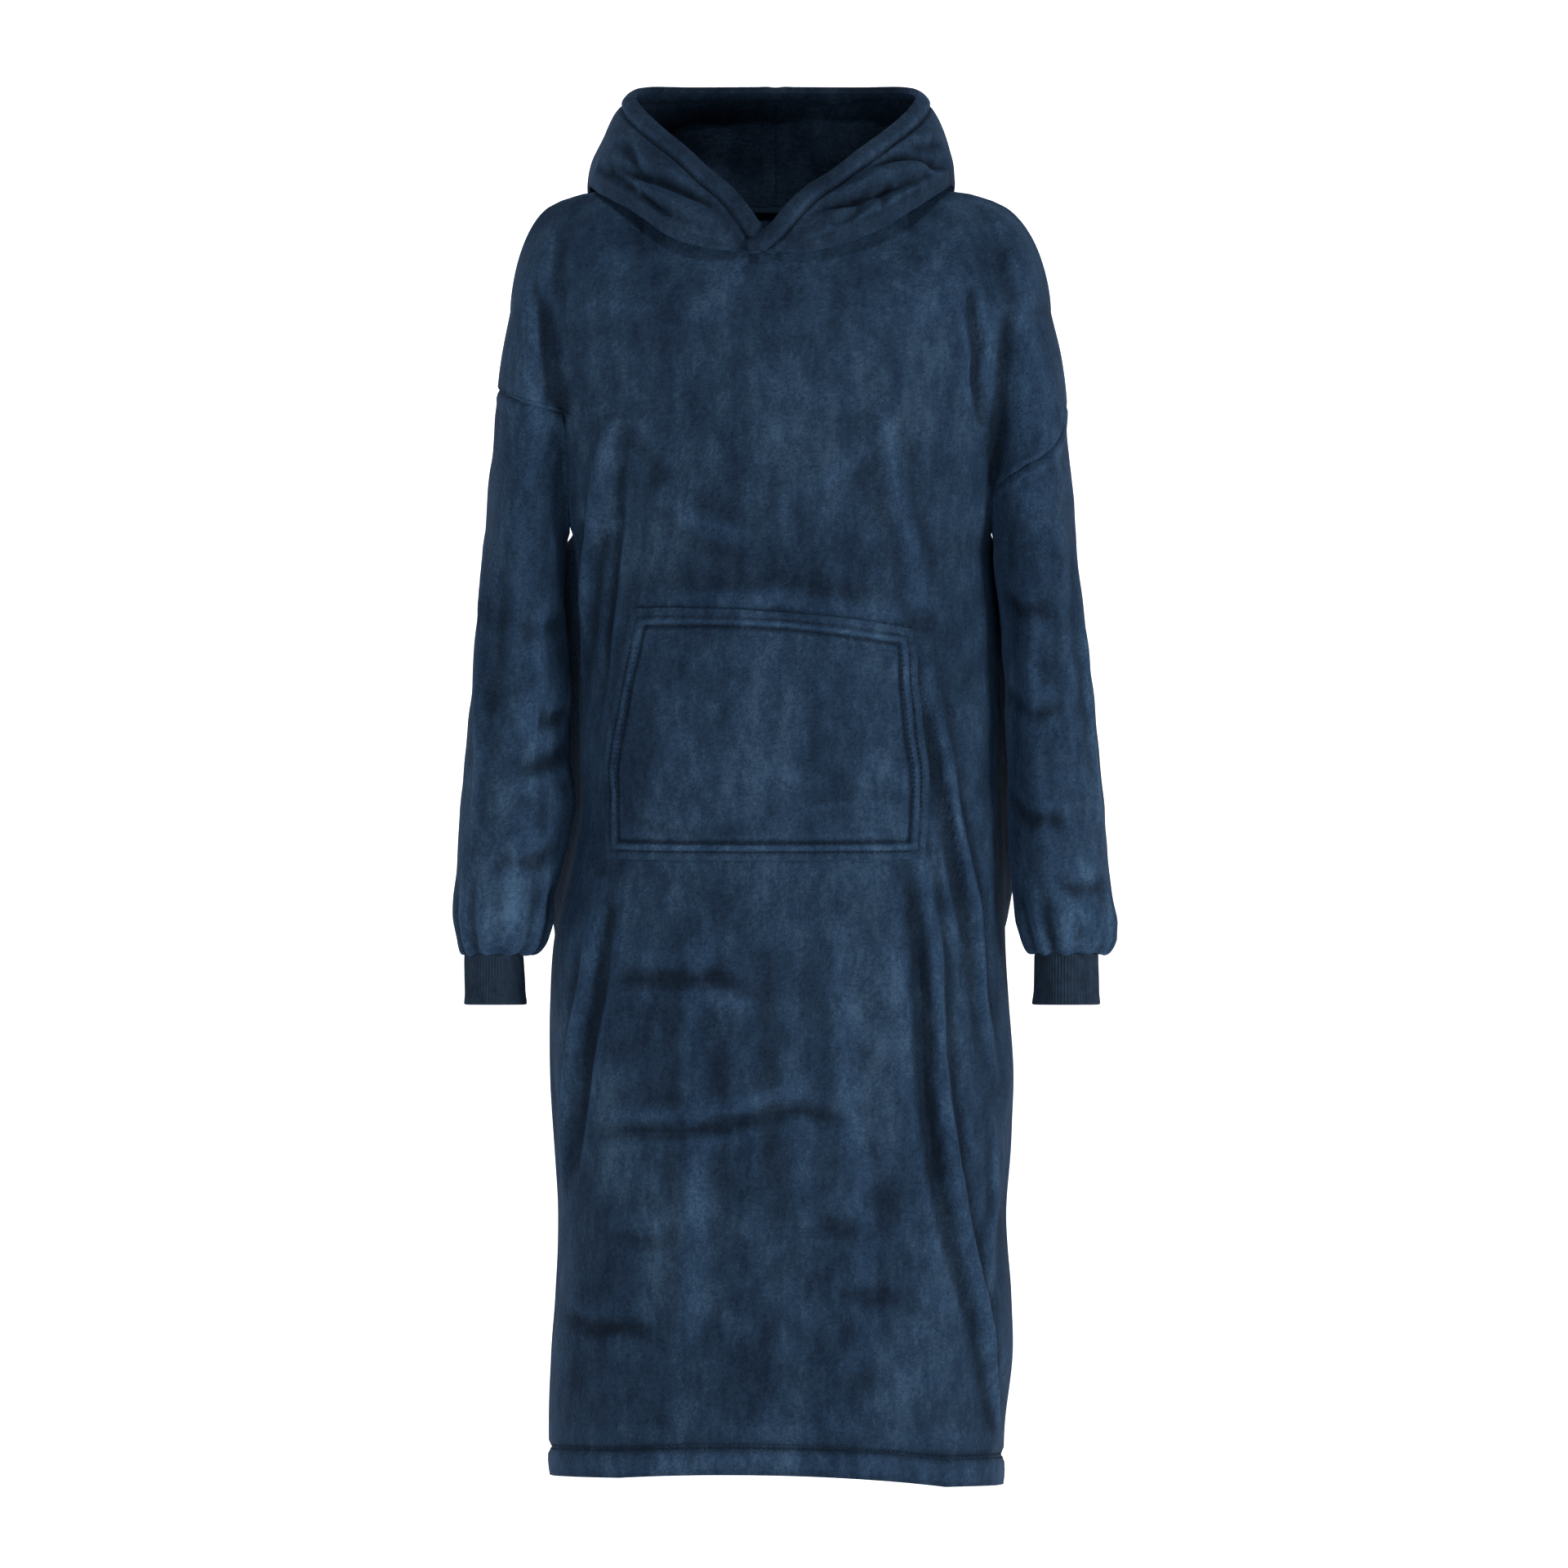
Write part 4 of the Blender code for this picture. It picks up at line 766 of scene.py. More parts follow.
def panelRow(surface, leftZ, leftRound, middleZ, rightZ, rightRound):
    side, middle = panel["sideColumns"], panel["middleColumns"]
    leftQ = np.linspace(leftRound, 2.0, side + 1)[:-1]
    rightQ = np.linspace(3.0, 5.0 - rightRound, side + 1)
    leftPart = ease((2.0 - leftQ) / (2.0 - leftRound))
    rightPart = ease((rightQ - 3.0) / (2.0 - rightRound))
    z = np.concatenate([
        middleZ + (leftZ - middleZ) * leftPart,
        np.full(middle, middleZ),
        middleZ + (rightZ - middleZ) * rightPart,
    ])
    return onSurface(surface, z, np.concatenate([leftQ, np.linspace(2.0, 3.0, middle + 1)[:-1], rightQ]))


def lowRow(surface, heights):
    side, middle = panel["sideColumns"], panel["middleColumns"]
    q = np.concatenate([
        np.linspace(1.0, 2.0, side + 1)[:-1],
        np.linspace(2.0, 3.0, middle + 1)[:-1],
        np.linspace(3.0, 4.0, side + 1),
    ])
    bend = np.polyfit([2.0, 2.5, 3.0], heights, 2)
    return onSurface(surface, np.polyval(bend, np.clip(q, 2.0, 3.0)), q)


def panelGrid(surface, face):
    rows = []
    starts = []
    for below, above in zip(lowRows[:-1], lowRows[1:]):
        starts.append(len(rows))
        count = max(2, round((above[1] - below[1]) / panel["rowHeight"]))
        for step in range(count):
            part = step / count
            rows.append(lowRow(surface, [a + (b - a) * part for a, b in zip(below, above)]))
    starts.append(len(rows))
    for step in np.linspace(1.0, 0.0, panel["seamSteps"] + 1):
        leftZ, leftRound = armholeAt(-1.0, step)
        rightZ, rightRound = armholeAt(1.0, step)
        middleZ = pit + (1.0 - step) * (panel["armTop"] - pit)
        rows.append(panelRow(surface, leftZ, leftRound, middleZ, rightZ, rightRound))
    tops = (armholes[-1.0][0][1], panel["armTop"], armholes[1.0][0][1])
    for part in np.linspace(0.0, 1.0, 13)[1:]:
        left, middle, right = (z + (yoke - z) * part for z in tops)
        rows.append(panelRow(surface, left, 0.0, middle, right, 0.0))
    base = rows[-1]
    top = topRow(face)
    columns = np.arange(len(base))
    fromSide = np.minimum(columns, len(base) - 1 - columns) / panel["sideColumns"]
    power = 2.0 / (1.15 + 0.60 * (1.0 - ease((fromSide - 0.6) / 0.8)))
    for step in range(1, panel["yokeSteps"] + 1):
        angle = 0.5 * math.pi * step / panel["yokeSteps"]
        level = (max(0.0, math.cos(angle)) ** power)[:, None] if step < panel["yokeSteps"] else 0.0
        plan = top[:, :2] + (base[:, :2] - top[:, :2]) * level
        z = base[:, 2] + (top[:, 2] - base[:, 2]) * math.sin(angle) ** power
        rows.append(np.concatenate([plan, z[:, None]], axis=1))
    return np.stack(rows), starts


def makePanel(name, face, surface, creases, seed):
    grid, starts = panelGrid(surface, face)
    normal = gridNormals(grid, -face)
    onSeam = np.abs(grid[:, :, 1]) < 0.0008
    normal[..., 1] = np.where(onSeam, 0.0, normal[..., 1])
    normal /= np.maximum(np.linalg.norm(normal, axis=2), 1e-9)[..., None]
    edge = np.minimum(np.minimum(fromEdge(grid, "left"), fromEdge(grid, "right")), fromEdge(grid, "top"))
    lift = creaseLift(grid, normal, creases, face) + unevenness(grid, panel["swells"], seed)
    lift *= ease(edge / cloth["seamFade"])
    hemLine = fromEdge(grid, "bottom") - panel["hem"]
    sides = np.minimum(fromEdge(grid, "left"), fromEdge(grid, "right"))
    lift += armSeam(edge, nearCrease(grid[:, :1, 2], sides))
    lift -= ridge(hemLine, *panel["hemGroove"])
    lift += panel["hemSwell"] * np.sin(math.pi * np.clip((hemLine + panel["hem"]) / panel["hem"], 0.0, 1.0))
    outer = grid + normal * lift[..., None]
    double = 1.0 - ease((hemLine + 0.002) / 0.004)
    piece = makePiece(name, outer, normal, bodyFleece, double=double)
    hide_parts(name)
    return piece, outer, gridNormals(outer, -face), starts


surfaces = {face: np.stack([sectionAt(z, face) for z in levels]) for face in (-1.0, 1.0)}
front, frontGrid, frontNormal, rowStarts = makePanel("body_front", -1.0, surfaces[-1.0], frontCreases, 1)
back, backGrid, backNormal, _ = makePanel("body_back", 1.0, surfaces[1.0], backCreases, 2)
print("front and back made", frontGrid.shape)

# sleeves
sleeve = {
    "columns": 96,
    "seamRows": 34,
    "rows": 66,
    "meetZ": -0.318,  # height where the rows have come level
    "turnZ": -0.622,  # where the sleeve turns in over its cuff
    "endZ": -0.636,
    "turnRows": 16,
    "tuckZ": -0.640,  # the last row, tucked in behind the cuff
    "swells": [(0.110, 0.0026), (0.050, 0.0018), (0.026, 0.0009)],
    "gathers": 11,
    "gatherDepth": 0.0034,
    "gatherFrom": -0.570,
    "creaseX": 0.195,
}
cuff = {
    "top": -0.637, "end": -0.693, "wall": 0.0036, "ribs": 66, "ribHeight": 0.0008,
    "lap": 0.006,  # how far it goes up inside the sleeve
    "widen": (0.0012, 0.0010),  # by which its end is wider
    "middle": {-1.0: (-0.2405, -0.030), 1.0: (0.2490, -0.030)},
    "half": {-1.0: (0.0248, 0.0275), 1.0: (0.0270, 0.0285)},
}
sleeveCreases = {
    -1.0: [
        foldLine(0.0060, 0.0070, 0.2, (-0.249, -0.287), (-0.251, -0.354), (-0.253, -0.421),
                 (-0.252, -0.488), (-0.262, -0.560)),
        foldLine(-0.0048, 0.0057, 0.2, (-0.176, -0.436), (-0.188, -0.447), (-0.206, -0.446)),
        foldLine(-0.0051, 0.0063, -0.2, (-0.174, -0.470), (-0.194, -0.488), (-0.222, -0.492)),
        foldLine(0.0050, 0.0070, 0.0, (-0.190, -0.330), (-0.205, -0.400), (-0.212, -0.470)),
        foldLine(-0.0045, 0.0063, 0.0, (-0.184, -0.556), (-0.208, -0.572), (-0.238, -0.568)),
        foldLine(-0.0030, 0.0063, 0.0, (-0.180, -0.360), (-0.200, -0.372), (-0.224, -0.368)),
        foldLine(0.0050, 0.0070, 0.1, (-0.216, -0.520), (-0.222, -0.570), (-0.228, -0.622)),
        foldLine(-0.0033, 0.0063, 0.1, (-0.232, -0.300), (-0.236, -0.380), (-0.238, -0.450)),
    ],
    1.0: [
        foldLine(0.0055, 0.0070, 0.2, (0.255, -0.300), (0.262, -0.380), (0.268, -0.450), (0.276, -0.540)),
        foldLine(0.0060, 0.0070, -0.2, (0.214, -0.300), (0.219, -0.400), (0.224, -0.500), (0.238, -0.610)),
        foldLine(-0.0045, 0.0063, 0.2, (0.196, -0.426), (0.216, -0.442), (0.246, -0.440)),
        foldLine(-0.0045, 0.0063, -0.2, (0.200, -0.516), (0.222, -0.534), (0.252, -0.531)),
        foldLine(-0.0036, 0.0063, 0.0, (0.238, -0.578), (0.262, -0.596), (0.284, -0.588)),
        foldLine(-0.0036, 0.0063, 0.0, (0.194, -0.340), (0.214, -0.356), (0.238, -0.352)),
        foldLine(-0.0030, 0.0069, 0.0, (0.236, -0.300), (0.243, -0.400), (0.248, -0.480)),
    ],
}
sleeveBackCreases = {
    -1.0: [
        foldLine(0.0040, 0.0090, 0.2, (-0.225, -0.300), (-0.226, -0.400), (-0.232, -0.540)),
        foldLine(-0.0046, 0.0065, 0.2, (-0.190, -0.430), (-0.216, -0.444), (-0.244, -0.436)),
        foldLine(-0.0040, 0.0060, 0.0, (-0.192, -0.500), (-0.220, -0.512), (-0.250, -0.506)),
    ],
    1.0: [
        foldLine(0.0040, 0.0090, 0.2, (0.240, -0.310), (0.244, -0.420), (0.252, -0.560)),
        foldLine(-0.0046, 0.0065, 0.2, (0.206, -0.460), (0.232, -0.472), (0.260, -0.466)),
        foldLine(-0.0040, 0.0060, 0.0, (0.214, -0.550), (0.240, -0.562), (0.266, -0.552)),
    ],
}


def cuffReach(side, unit, z):
    down = (cuff["top"] - z) / (cuff["top"] - cuff["end"])
    halfX, halfY = (half + wider * down for half, wider in zip(cuff["half"][side], cuff["widen"]))
    return 1.0 / np.sqrt((unit[:, 0] / halfX) ** 2 + (unit[:, 1] / halfY) ** 2)


def armPoint(side, z, angle):
    outer, inner, toFront, toBack, middle = (readTable(armSizes[side], z, column) for column in range(1, 6))
    depth = np.where(np.sin(angle) >= 0.0, toFront, toBack)
    x = 0.5 * (outer + inner) + 0.5 * (outer - inner) * np.cos(angle)
    return np.stack([side * x, middle - depth * np.sin(angle), z + 0.0 * x], axis=-1)


def sleeveGrid(side):
    count = sleeve["columns"]
    half = count // 2
    columns = np.arange(count)
    angle = 2.0 * math.pi * columns / count
    step = np.where(columns <= half, columns, count - columns) / half
    seamZ, seamRound = armholeAt(side, step)
    q = seamRound if side < 0 else 5.0 - seamRound
    onFront = onSurface(surfaces[-1.0], seamZ, q)
    onBack = onSurface(surfaces[1.0], seamZ, q)
    seam = np.where((columns <= half)[:, None], onFront, onBack)
    middleX = armPoint(side, seamZ, np.full(count, 0.5 * math.pi))[:, 0]
    halfX = np.abs(armPoint(side, seamZ, np.zeros(count))[:, 0] - middleX)
    startAngle = np.arccos(np.clip(side * (seam[:, 0] - middleX) / halfX, -1.0, 1.0))
    startAngle = np.where(columns <= half, startAngle, 2.0 * math.pi - startAngle)
    startAngle[0] = 0.0
    residual = seam - armPoint(side, seamZ, startAngle)
    rings = []
    for part in np.linspace(0.0, 1.0, sleeve["seamRows"]):
        z = seamZ + (sleeve["meetZ"] - seamZ) * part
        turned = startAngle + (angle - startAngle) * ease(part)
        rings.append(armPoint(side, z, turned) + residual * (1.0 - part) ** 2)
    for z in np.linspace(sleeve["meetZ"], sleeve["turnZ"], sleeve["rows"])[1:]:
        rings.append(armPoint(side, np.full(count, z), angle))
    # the gathers over the cuff, uneven round it
    middle = np.array([*cuff["middle"][side], 0.0])
    bottom = armPoint(side, np.full(count, sleeve["endZ"]), angle)
    unit = (bottom - middle) * np.array([1.0, 1.0, 0.0])
    reach = np.linalg.norm(unit, axis=1)
    unit /= reach[:, None]
    wave = np.cos(sleeve["gathers"] * angle + 0.9 * np.sin(2.0 * angle) + side)
    wave *= 0.65 + 0.35 * np.sin(3.0 * angle + 1.0 + side)
    inside = cuffReach(side, unit, cuff["top"]) + 0.0006
    turnIn = [(1.0, sleeve["turnZ"]), (1.0, sleeve["endZ"]), (0.64, -0.6470), (0.22, -0.6490), (0.0, -0.6440)]
    for share, z in smoothPath(turnIn, sleeve["turnRows"])[1:]:
        ring = middle + unit * (inside + (reach - inside) * share)[:, None]
        ring[:, 2] = z
        rings.append(ring)
    ring = middle + unit * (inside - 0.0010)[:, None]
    ring[:, 2] = sleeve["tuckZ"]
    rings.append(ring)
    grid = np.stack(rings)
    depth = sleeve["gatherDepth"] * ease((sleeve["gatherFrom"] - grid[..., 2]) / 0.060)
    depth[-sleeve["turnRows"] :] *= np.linspace(1.0, 0.25, sleeve["turnRows"])[:, None]
    return grid, depth * wave[None, :]


def makeSleeve(name, side, seed):
    grid, gathers = sleeveGrid(side)
    normal = tubeNormals(grid, 40)
    edge = fromEdge(grid, "bottom")
    lift = creaseLift(grid, normal, sleeveCreases[side], -1.0)
    lift += creaseLift(grid, normal, sleeveBackCreases[side], 1.0)
    lift += unevenness(grid, sleeve["swells"], seed)
    lift *= ease(edge / cloth["seamFade"]) * ease(fromEdge(grid, "top") / 0.040)
    inCrease = nearCrease(grid[:1, :, 2], edge) * ease((sleeve["creaseX"] - side * grid[:1, :, 0]) / 0.012)
    lift += armSeam(edge, inCrease) + gathers
    outer = grid + normal * lift[..., None]
    piece = makePiece(name, outer, normal, litSleeveFleece, closed=True)
    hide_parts(name)
    return piece


def makeCuff(name, side):
    # a doubled tube of rib knit: down the ribbed outside, round the fold and up the plainer inside
    middle = np.array([*cuff["middle"][side], 0.0])
    count = cuff["ribs"] * 6
    angle = 2.0 * math.pi * np.arange(count) / count
    unit = np.stack([np.cos(angle), np.sin(angle), np.zeros(count)], axis=1)
    rib = np.abs(np.cos(0.5 * cuff["ribs"] * angle)) ** 0.7 - 0.75
    half = 0.5 * cuff["wall"]
    top, foldTop = cuff["top"] + cuff["lap"], cuff["end"] + half
    profile = [(0.0, z, 1.0) for z in np.linspace(top, foldTop, 26)]
    for turn in np.linspace(0.0, math.pi, 9)[1:]:
        share = max(0.0, math.cos(turn))
        profile.append((-half + half * math.cos(turn), foldTop - half * math.sin(turn), share))
    profile += [(-cuff["wall"], z, 0.35) for z in np.linspace(foldTop, top, 18)[1:]]
    rings = []
    for inward, z, share in profile:
        flare = 0.0009 * ease((cuff["end"] + 0.012 - z) / 0.012) - 0.0012 * ease((z + 0.652) / 0.012)
        swell = 0.0007 * np.sin(3.0 * angle + 40.0 * z + side) + 0.0004 * np.sin(7.0 * angle + 90.0 * z)
        reach = cuffReach(side, unit, z) + inward + cuff["ribHeight"] * rib * share + flare + swell
        rings.append(middle + unit * reach[:, None] + np.array([0.0, 0.0, z]))
    grid = np.stack(rings)
    normal = tubeNormals(grid, 10)
    piece = makePiece(name, grid, normal, ribKnit, closed=True)
    piece.modifiers.clear()
    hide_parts(name)
    return piece


for label, side, seed in (("left", 1.0, 3), ("right", -1.0, 4)):
    makeSleeve("sleeve_" + label, side, seed)
    makeCuff("cuff_" + label, side)
print("sleeves and cuffs made")

# pocket, made from the front's own points and moved out
pocket = {
    "gap": 0.0004,
    "puff": 0.0050,  # how far the sides stand open
    "hemLine": 0.0150,  # from the edges
    "hemGroove": (0.0024, 0.0020),  # depth and half width
    "edgeLine": 0.0070,
    "edgeGroove": (0.0014, 0.0014),
}
pocketCreases = [
    foldLine(0.0030, 0.0100, 0.2, (-0.090, -0.380), (-0.092, -0.460), (-0.100, -0.540)),
    foldLine(-0.0026, 0.0080, 0.0, (-0.030, -0.390), (-0.020, -0.440), (-0.030, -0.500)),
    foldLine(0.0030, 0.0090, -0.2, (0.060, -0.400), (0.074, -0.470), (0.080, -0.550)),
    foldLine(-0.0026, 0.0060, 0.1, (-0.130, -0.530), (-0.080, -0.546), (-0.020, -0.541)),
    foldLine(0.0024, 0.0070, 0.0, (0.010, -0.530), (0.060, -0.520), (0.110, -0.528)),
]


def finer(grid, times):
    # the same surface with more rows and columns
    rows = np.linspace(0.0, grid.shape[0] - 1.0, (grid.shape[0] - 1) * times + 1)
    columns = np.linspace(0.0, grid.shape[1] - 1.0, (grid.shape[1] - 1) * times + 1)
    row = np.minimum(rows.astype(int), grid.shape[0] - 2)
    column = np.minimum(columns.astype(int), grid.shape[1] - 2)
    up = (rows - row)[:, None, None]
    across = (columns - column)[None, :, None]
    lower = grid[row][:, column] * (1.0 - across) + grid[row][:, column + 1] * across
    upper = grid[row + 1][:, column] * (1.0 - across) + grid[row + 1][:, column + 1] * across
    return lower * (1.0 - up) + upper * up


def makePocket():
    rows = slice(rowStarts[pocketRows[0]], rowStarts[pocketRows[1]] + 1)
    columns = slice(panel["sideColumns"], panel["sideColumns"] + panel["middleColumns"] + 1)
    base = finer(frontGrid[rows, columns], 3)
    normal = finer(frontNormal[rows, columns], 3)
    fromSides = np.minimum(fromEdge(base, "left"), fromEdge(base, "right"))
    fromTop, fromBottom = fromEdge(base, "top"), fromEdge(base, "bottom")
    inFrom = np.minimum(fromSides, np.minimum(fromTop, fromBottom))
    opening = ease((fromBottom - 0.050) / 0.030) * ease(fromTop / 0.030)
    single = ease((inFrom - 0.013) / 0.004)
    lift = np.full(base.shape[:2], pocket["gap"] + cloth["hem"])
    lift -= (cloth["hem"] - cloth["wall"]) * single
    lift += pocket["puff"] * opening * (0.45 + ridge(fromSides, 0.55, 0.050))
    lift += 0.0022 * ease(inFrom / 0.040)
    lift += creaseLift(base, normal, pocketCreases, -1.0) * ease(inFrom / 0.016)
    lift -= ridge(inFrom - pocket["hemLine"], *pocket["hemGroove"])
    lift -= ridge(inFrom - pocket["edgeLine"], *pocket["edgeGroove"]) * ease((fromTop - 0.004) / 0.004)
    outer = base + normal * lift[..., None]
    piece = makePiece("pocket", outer, normal, litPocketFleece, double=1.0 - single)
    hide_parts("pocket")
    return piece, outer


pouch, pocketGrid = makePocket()
print("pocket made")

# hood, lying down behind the neck
hood = {
    "steps": 180,
    "rows": 124,
    "clearance": 0.0068,  # over the shoulders and the back
    "rim": 0.016,
    "rimGroove": (0.0030, 0.0020),  # depth and half width
    "shift": -0.010,  # the opening's lowest point lies left of the middle
    "cross": 0.0145,  # how far each front end goes past the middle
    "over": 0.0066,  # how far out the end that lies on top is
    "swells": [(0.060, 0.0022), (0.028, 0.0014)],
}
# from the front end (0) to the middle of the back (1): the rim, two bulges, and the lowest place of the fold
hoodStations = [
    {"along": 0.00, "rim": (-0.0120, -0.1115, -0.0410), "upper": (-0.0120, -0.1125, -0.0430),
     "lower": (-0.0120, -0.1120, -0.0445), "fold": (-0.0120, -0.1100, -0.0458)},
    {"along": 0.06, "rim": (0.0000, -0.1125, -0.0315), "upper": (0.0100, -0.1160, -0.0370),
     "lower": (0.0200, -0.1175, -0.0420), "fold": (0.0240, -0.1140, -0.0465)},
    {"along": 0.12, "rim": (0.0150, -0.1080, -0.0125), "upper": (0.0280, -0.1145, -0.0220),
     "lower": (0.0410, -0.1190, -0.0350), "fold": (0.0460, -0.1150, -0.0445)},
    {"along": 0.18, "rim": (0.0310, -0.1000, 0.0040), "upper": (0.0460, -0.1100, -0.0090),
     "lower": (0.0620, -0.1165, -0.0270), "fold": (0.0670, -0.1110, -0.0400)},
    {"along": 0.25, "rim": (0.0500, -0.0870, 0.0175), "upper": (0.0670, -0.0980, 0.0040),
     "lower": (0.0850, -0.1070, -0.0170), "fold": (0.0890, -0.1020, -0.0320)},
    {"along": 0.33, "rim": (0.0730, -0.0680, 0.0375), "upper": (0.0920, -0.0800, 0.0230),
     "lower": (0.1100, -0.0880, 0.0000), "fold": (0.1120, -0.0860, -0.0190)},
    {"along": 0.40, "rim": (0.0960, -0.0440, 0.0560), "upper": (0.1140, -0.0540, 0.0420),
     "lower": (0.1320, -0.0620, 0.0160), "fold": (0.1330, -0.0620, -0.0060)},
    {"along": 0.46, "rim": (0.1120, -0.0190, 0.0720), "upper": (0.1280, -0.0240, 0.0580),
     "lower": (0.1470, -0.0300, 0.0270), "fold": (0.1500, -0.0330, 0.0040)},
    {"along": 0.50, "rim": (0.1180, -0.0020, 0.0810), "upper": (0.1330, -0.0020, 0.0680),
     "lower": (0.1540, -0.0060, 0.0300), "fold": (0.1570, -0.0100, 0.0060)},
    {"along": 0.57, "rim": (0.1190, 0.0200, 0.0890), "upper": (0.1360, 0.0260, 0.0700),
     "lower": (0.1570, 0.0300, 0.0260), "fold": (0.1580, 0.0340, -0.0020)},
    {"along": 0.66, "rim": (0.1100, 0.0480, 0.0925), "upper": (0.1300, 0.0640, 0.0660),
     "lower": (0.1500, 0.0780, 0.0120), "fold": (0.1440, 0.0840, -0.0320)},
    {"along": 0.82, "rim": (0.0720, 0.0780, 0.0930), "upper": (0.0900, 0.1080, 0.0660),
     "lower": (0.1060, 0.1360, -0.0100), "fold": (0.0940, 0.1360, -0.0950)},
    {"along": 1.00, "rim": (0.0000, 0.0880, 0.0935), "upper": (0.0000, 0.1240, 0.0660),
     "lower": (0.0000, 0.1580, -0.0280), "fold": (0.0000, 0.1520, -0.1420)},
]
hoodCreases = {
    -1.0: [
        foldLine(-0.0110, 0.0040, 0.0, (-0.133, 0.0470), (-0.124, 0.0360), (-0.116, 0.0200),
                 (-0.104, 0.0120)),
        foldLine(-0.0130, 0.0045, -0.2, (-0.145, 0.0260), (-0.128, 0.0210), (-0.113, 0.0160),
                 (-0.086, 0.0050), (-0.062, -0.0060), (-0.036, -0.0220)),
        foldLine(-0.0130, 0.0045, -0.2, (-0.158, 0.0120), (-0.147, 0.0040), (-0.139, -0.0060),
                 (-0.113, -0.0100), (-0.091, -0.0170), (-0.068, -0.0290), (-0.050, -0.0330)),
        foldLine(-0.0060, 0.0037, 0.0, (-0.128, -0.0120), (-0.106, -0.0180), (-0.090, -0.0270)),
        foldLine(0.0075, 0.0077, 0.0, (-0.145, 0.0180), (-0.118, 0.0080), (-0.090, -0.0040),
                 (-0.064, -0.0160), (-0.042, -0.0260)),
        foldLine(0.0075, 0.0066, 0.0, (-0.130, 0.0340), (-0.108, 0.0240), (-0.085, 0.0140),
                 (-0.060, 0.0020)),
        foldLine(0.0075, 0.0066, 0.0, (-0.135, -0.0060), (-0.105, -0.0260), (-0.070, -0.0380),
                 (-0.035, -0.0400)),
    ],
    1.0: [
        foldLine(-0.0090, 0.0040, 0.0, (0.140, 0.0440), (0.130, 0.0410), (0.118, 0.0420), (0.104, 0.0420)),
        foldLine(-0.0130, 0.0045, -0.2, (0.152, 0.0160), (0.145, 0.0230), (0.132, 0.0300),
                 (0.112, 0.0330), (0.091, 0.0290), (0.072, 0.0180)),
        foldLine(-0.0130, 0.0045, -0.2, (0.153, 0.0060), (0.142, 0.0130), (0.130, 0.0140),
                 (0.105, 0.0090), (0.087, 0.0000), (0.064, -0.0060), (0.036, -0.0130), (0.012, -0.0240)),
        foldLine(-0.0090, 0.0037, 0.0, (0.105, 0.0090), (0.093, -0.0020), (0.086, -0.0160)),
        foldLine(-0.0080, 0.0037, 0.0, (0.079, -0.0050), (0.064, -0.0210), (0.046, -0.0290)),
        foldLine(0.0075, 0.0077, 0.0, (0.142, 0.0210), (0.115, 0.0200), (0.088, 0.0130), (0.058, 0.0020),
                 (0.030, -0.0080)),
        foldLine(0.0075, 0.0077, 0.0, (0.140, -0.0020), (0.112, -0.0060), (0.080, -0.0200),
                 (0.050, -0.0330), (0.020, -0.0360)),
        foldLine(0.0060, 0.0066, 0.0, (0.134, 0.0460), (0.110, 0.0420), (0.086, 0.0360)),
    ],
}
hoodBackCreases = {
    -1.0: [
        foldLine(-0.0060, 0.0070, 0.2, (-0.140, 0.030), (-0.090, 0.000), (-0.030, -0.030)),
        foldLine(-0.0050, 0.0060, -0.2, (-0.130, -0.010), (-0.080, -0.045), (-0.025, -0.080)),
        foldLine(0.0050, 0.0110, 0.0, (-0.120, 0.050), (-0.070, 0.030), (-0.020, 0.010)),
    ],
    1.0: [
        foldLine(-0.0060, 0.0070, 0.2, (0.138, 0.020), (0.085, -0.012), (0.028, -0.046)),
        foldLine(-0.0050, 0.0060, -0.2, (0.120, -0.030), (0.070, -0.065), (0.022, -0.095)),
        foldLine(0.0050, 0.0110, 0.0, (0.118, 0.045), (0.066, 0.022), (0.020, -0.002)),
    ],
}


def hoodValue(along, key):
    table = [(row["along"], *row[key]) for row in hoodStations]
    return np.array([float(readTable(table, along, axis)) for axis in (1, 2, 3)])


def hoodProfile(along, side):
    shift = hood["shift"] * (1.0 - float(ease(along / 0.45)))
    crossing = 1.0 - float(ease(along / 0.12))
    over = 1.0 - float(ease((along - 0.04) / 0.12)) if side > 0 else 0.0
    mirror = np.array([side, 1.0, 1.0])
    if along <= 0.5:
        x = side * (abs(neckPoint(np.array(abs(0.5 - along)), -1.0)[0]) - hood["cross"] * crossing) + shift
        ratio = math.copysign((min(abs(x), neck["halfWidth"]) / neck["halfWidth"]) ** 1.1, x)
        seam = neckPoint(np.array(math.acos(ratio) / math.pi), -1.0)
    else:
        seam = neckPoint(np.array(along - 0.5), 1.0) * mirror
    rim, upper, lower, fold = (hoodValue(along, key) * mirror for key in ("rim", "upper", "lower", "fold"))
    if side > 0:
        narrow = float(ease((0.9 - abs(along - 0.5)) / 0.9)) * min(1.0, along / 0.4)
        lower[0] -= 0.006 * narrow
        fold[0] -= 0.008 * narrow
    outward = seam * np.array([1.0, 1.0, 0.0])
    outward /= np.linalg.norm(outward)
    for point in (rim, upper, lower, fold):
        point += outward * hood["over"] * over + np.array([shift, 0.0, 0.0])
    base = seam + outward * (0.0080 * over - 0.0034) + np.array([0.0, 0.0, -0.0030])
    up = np.array([0.0, 0.0, 1.0])
    opened = float(ease(along / 0.2))
    collar = base + up * 0.006 * opened + outward * 0.0012
    under = base + (fold - base) * 0.82 - outward * 0.006 * opened - up * 0.002
    above = base + (fold - base) * 0.40 + up * 0.004 * opened
    return smoothPath([rim, upper, lower, fold, under, above, collar, base], hood["rows"])


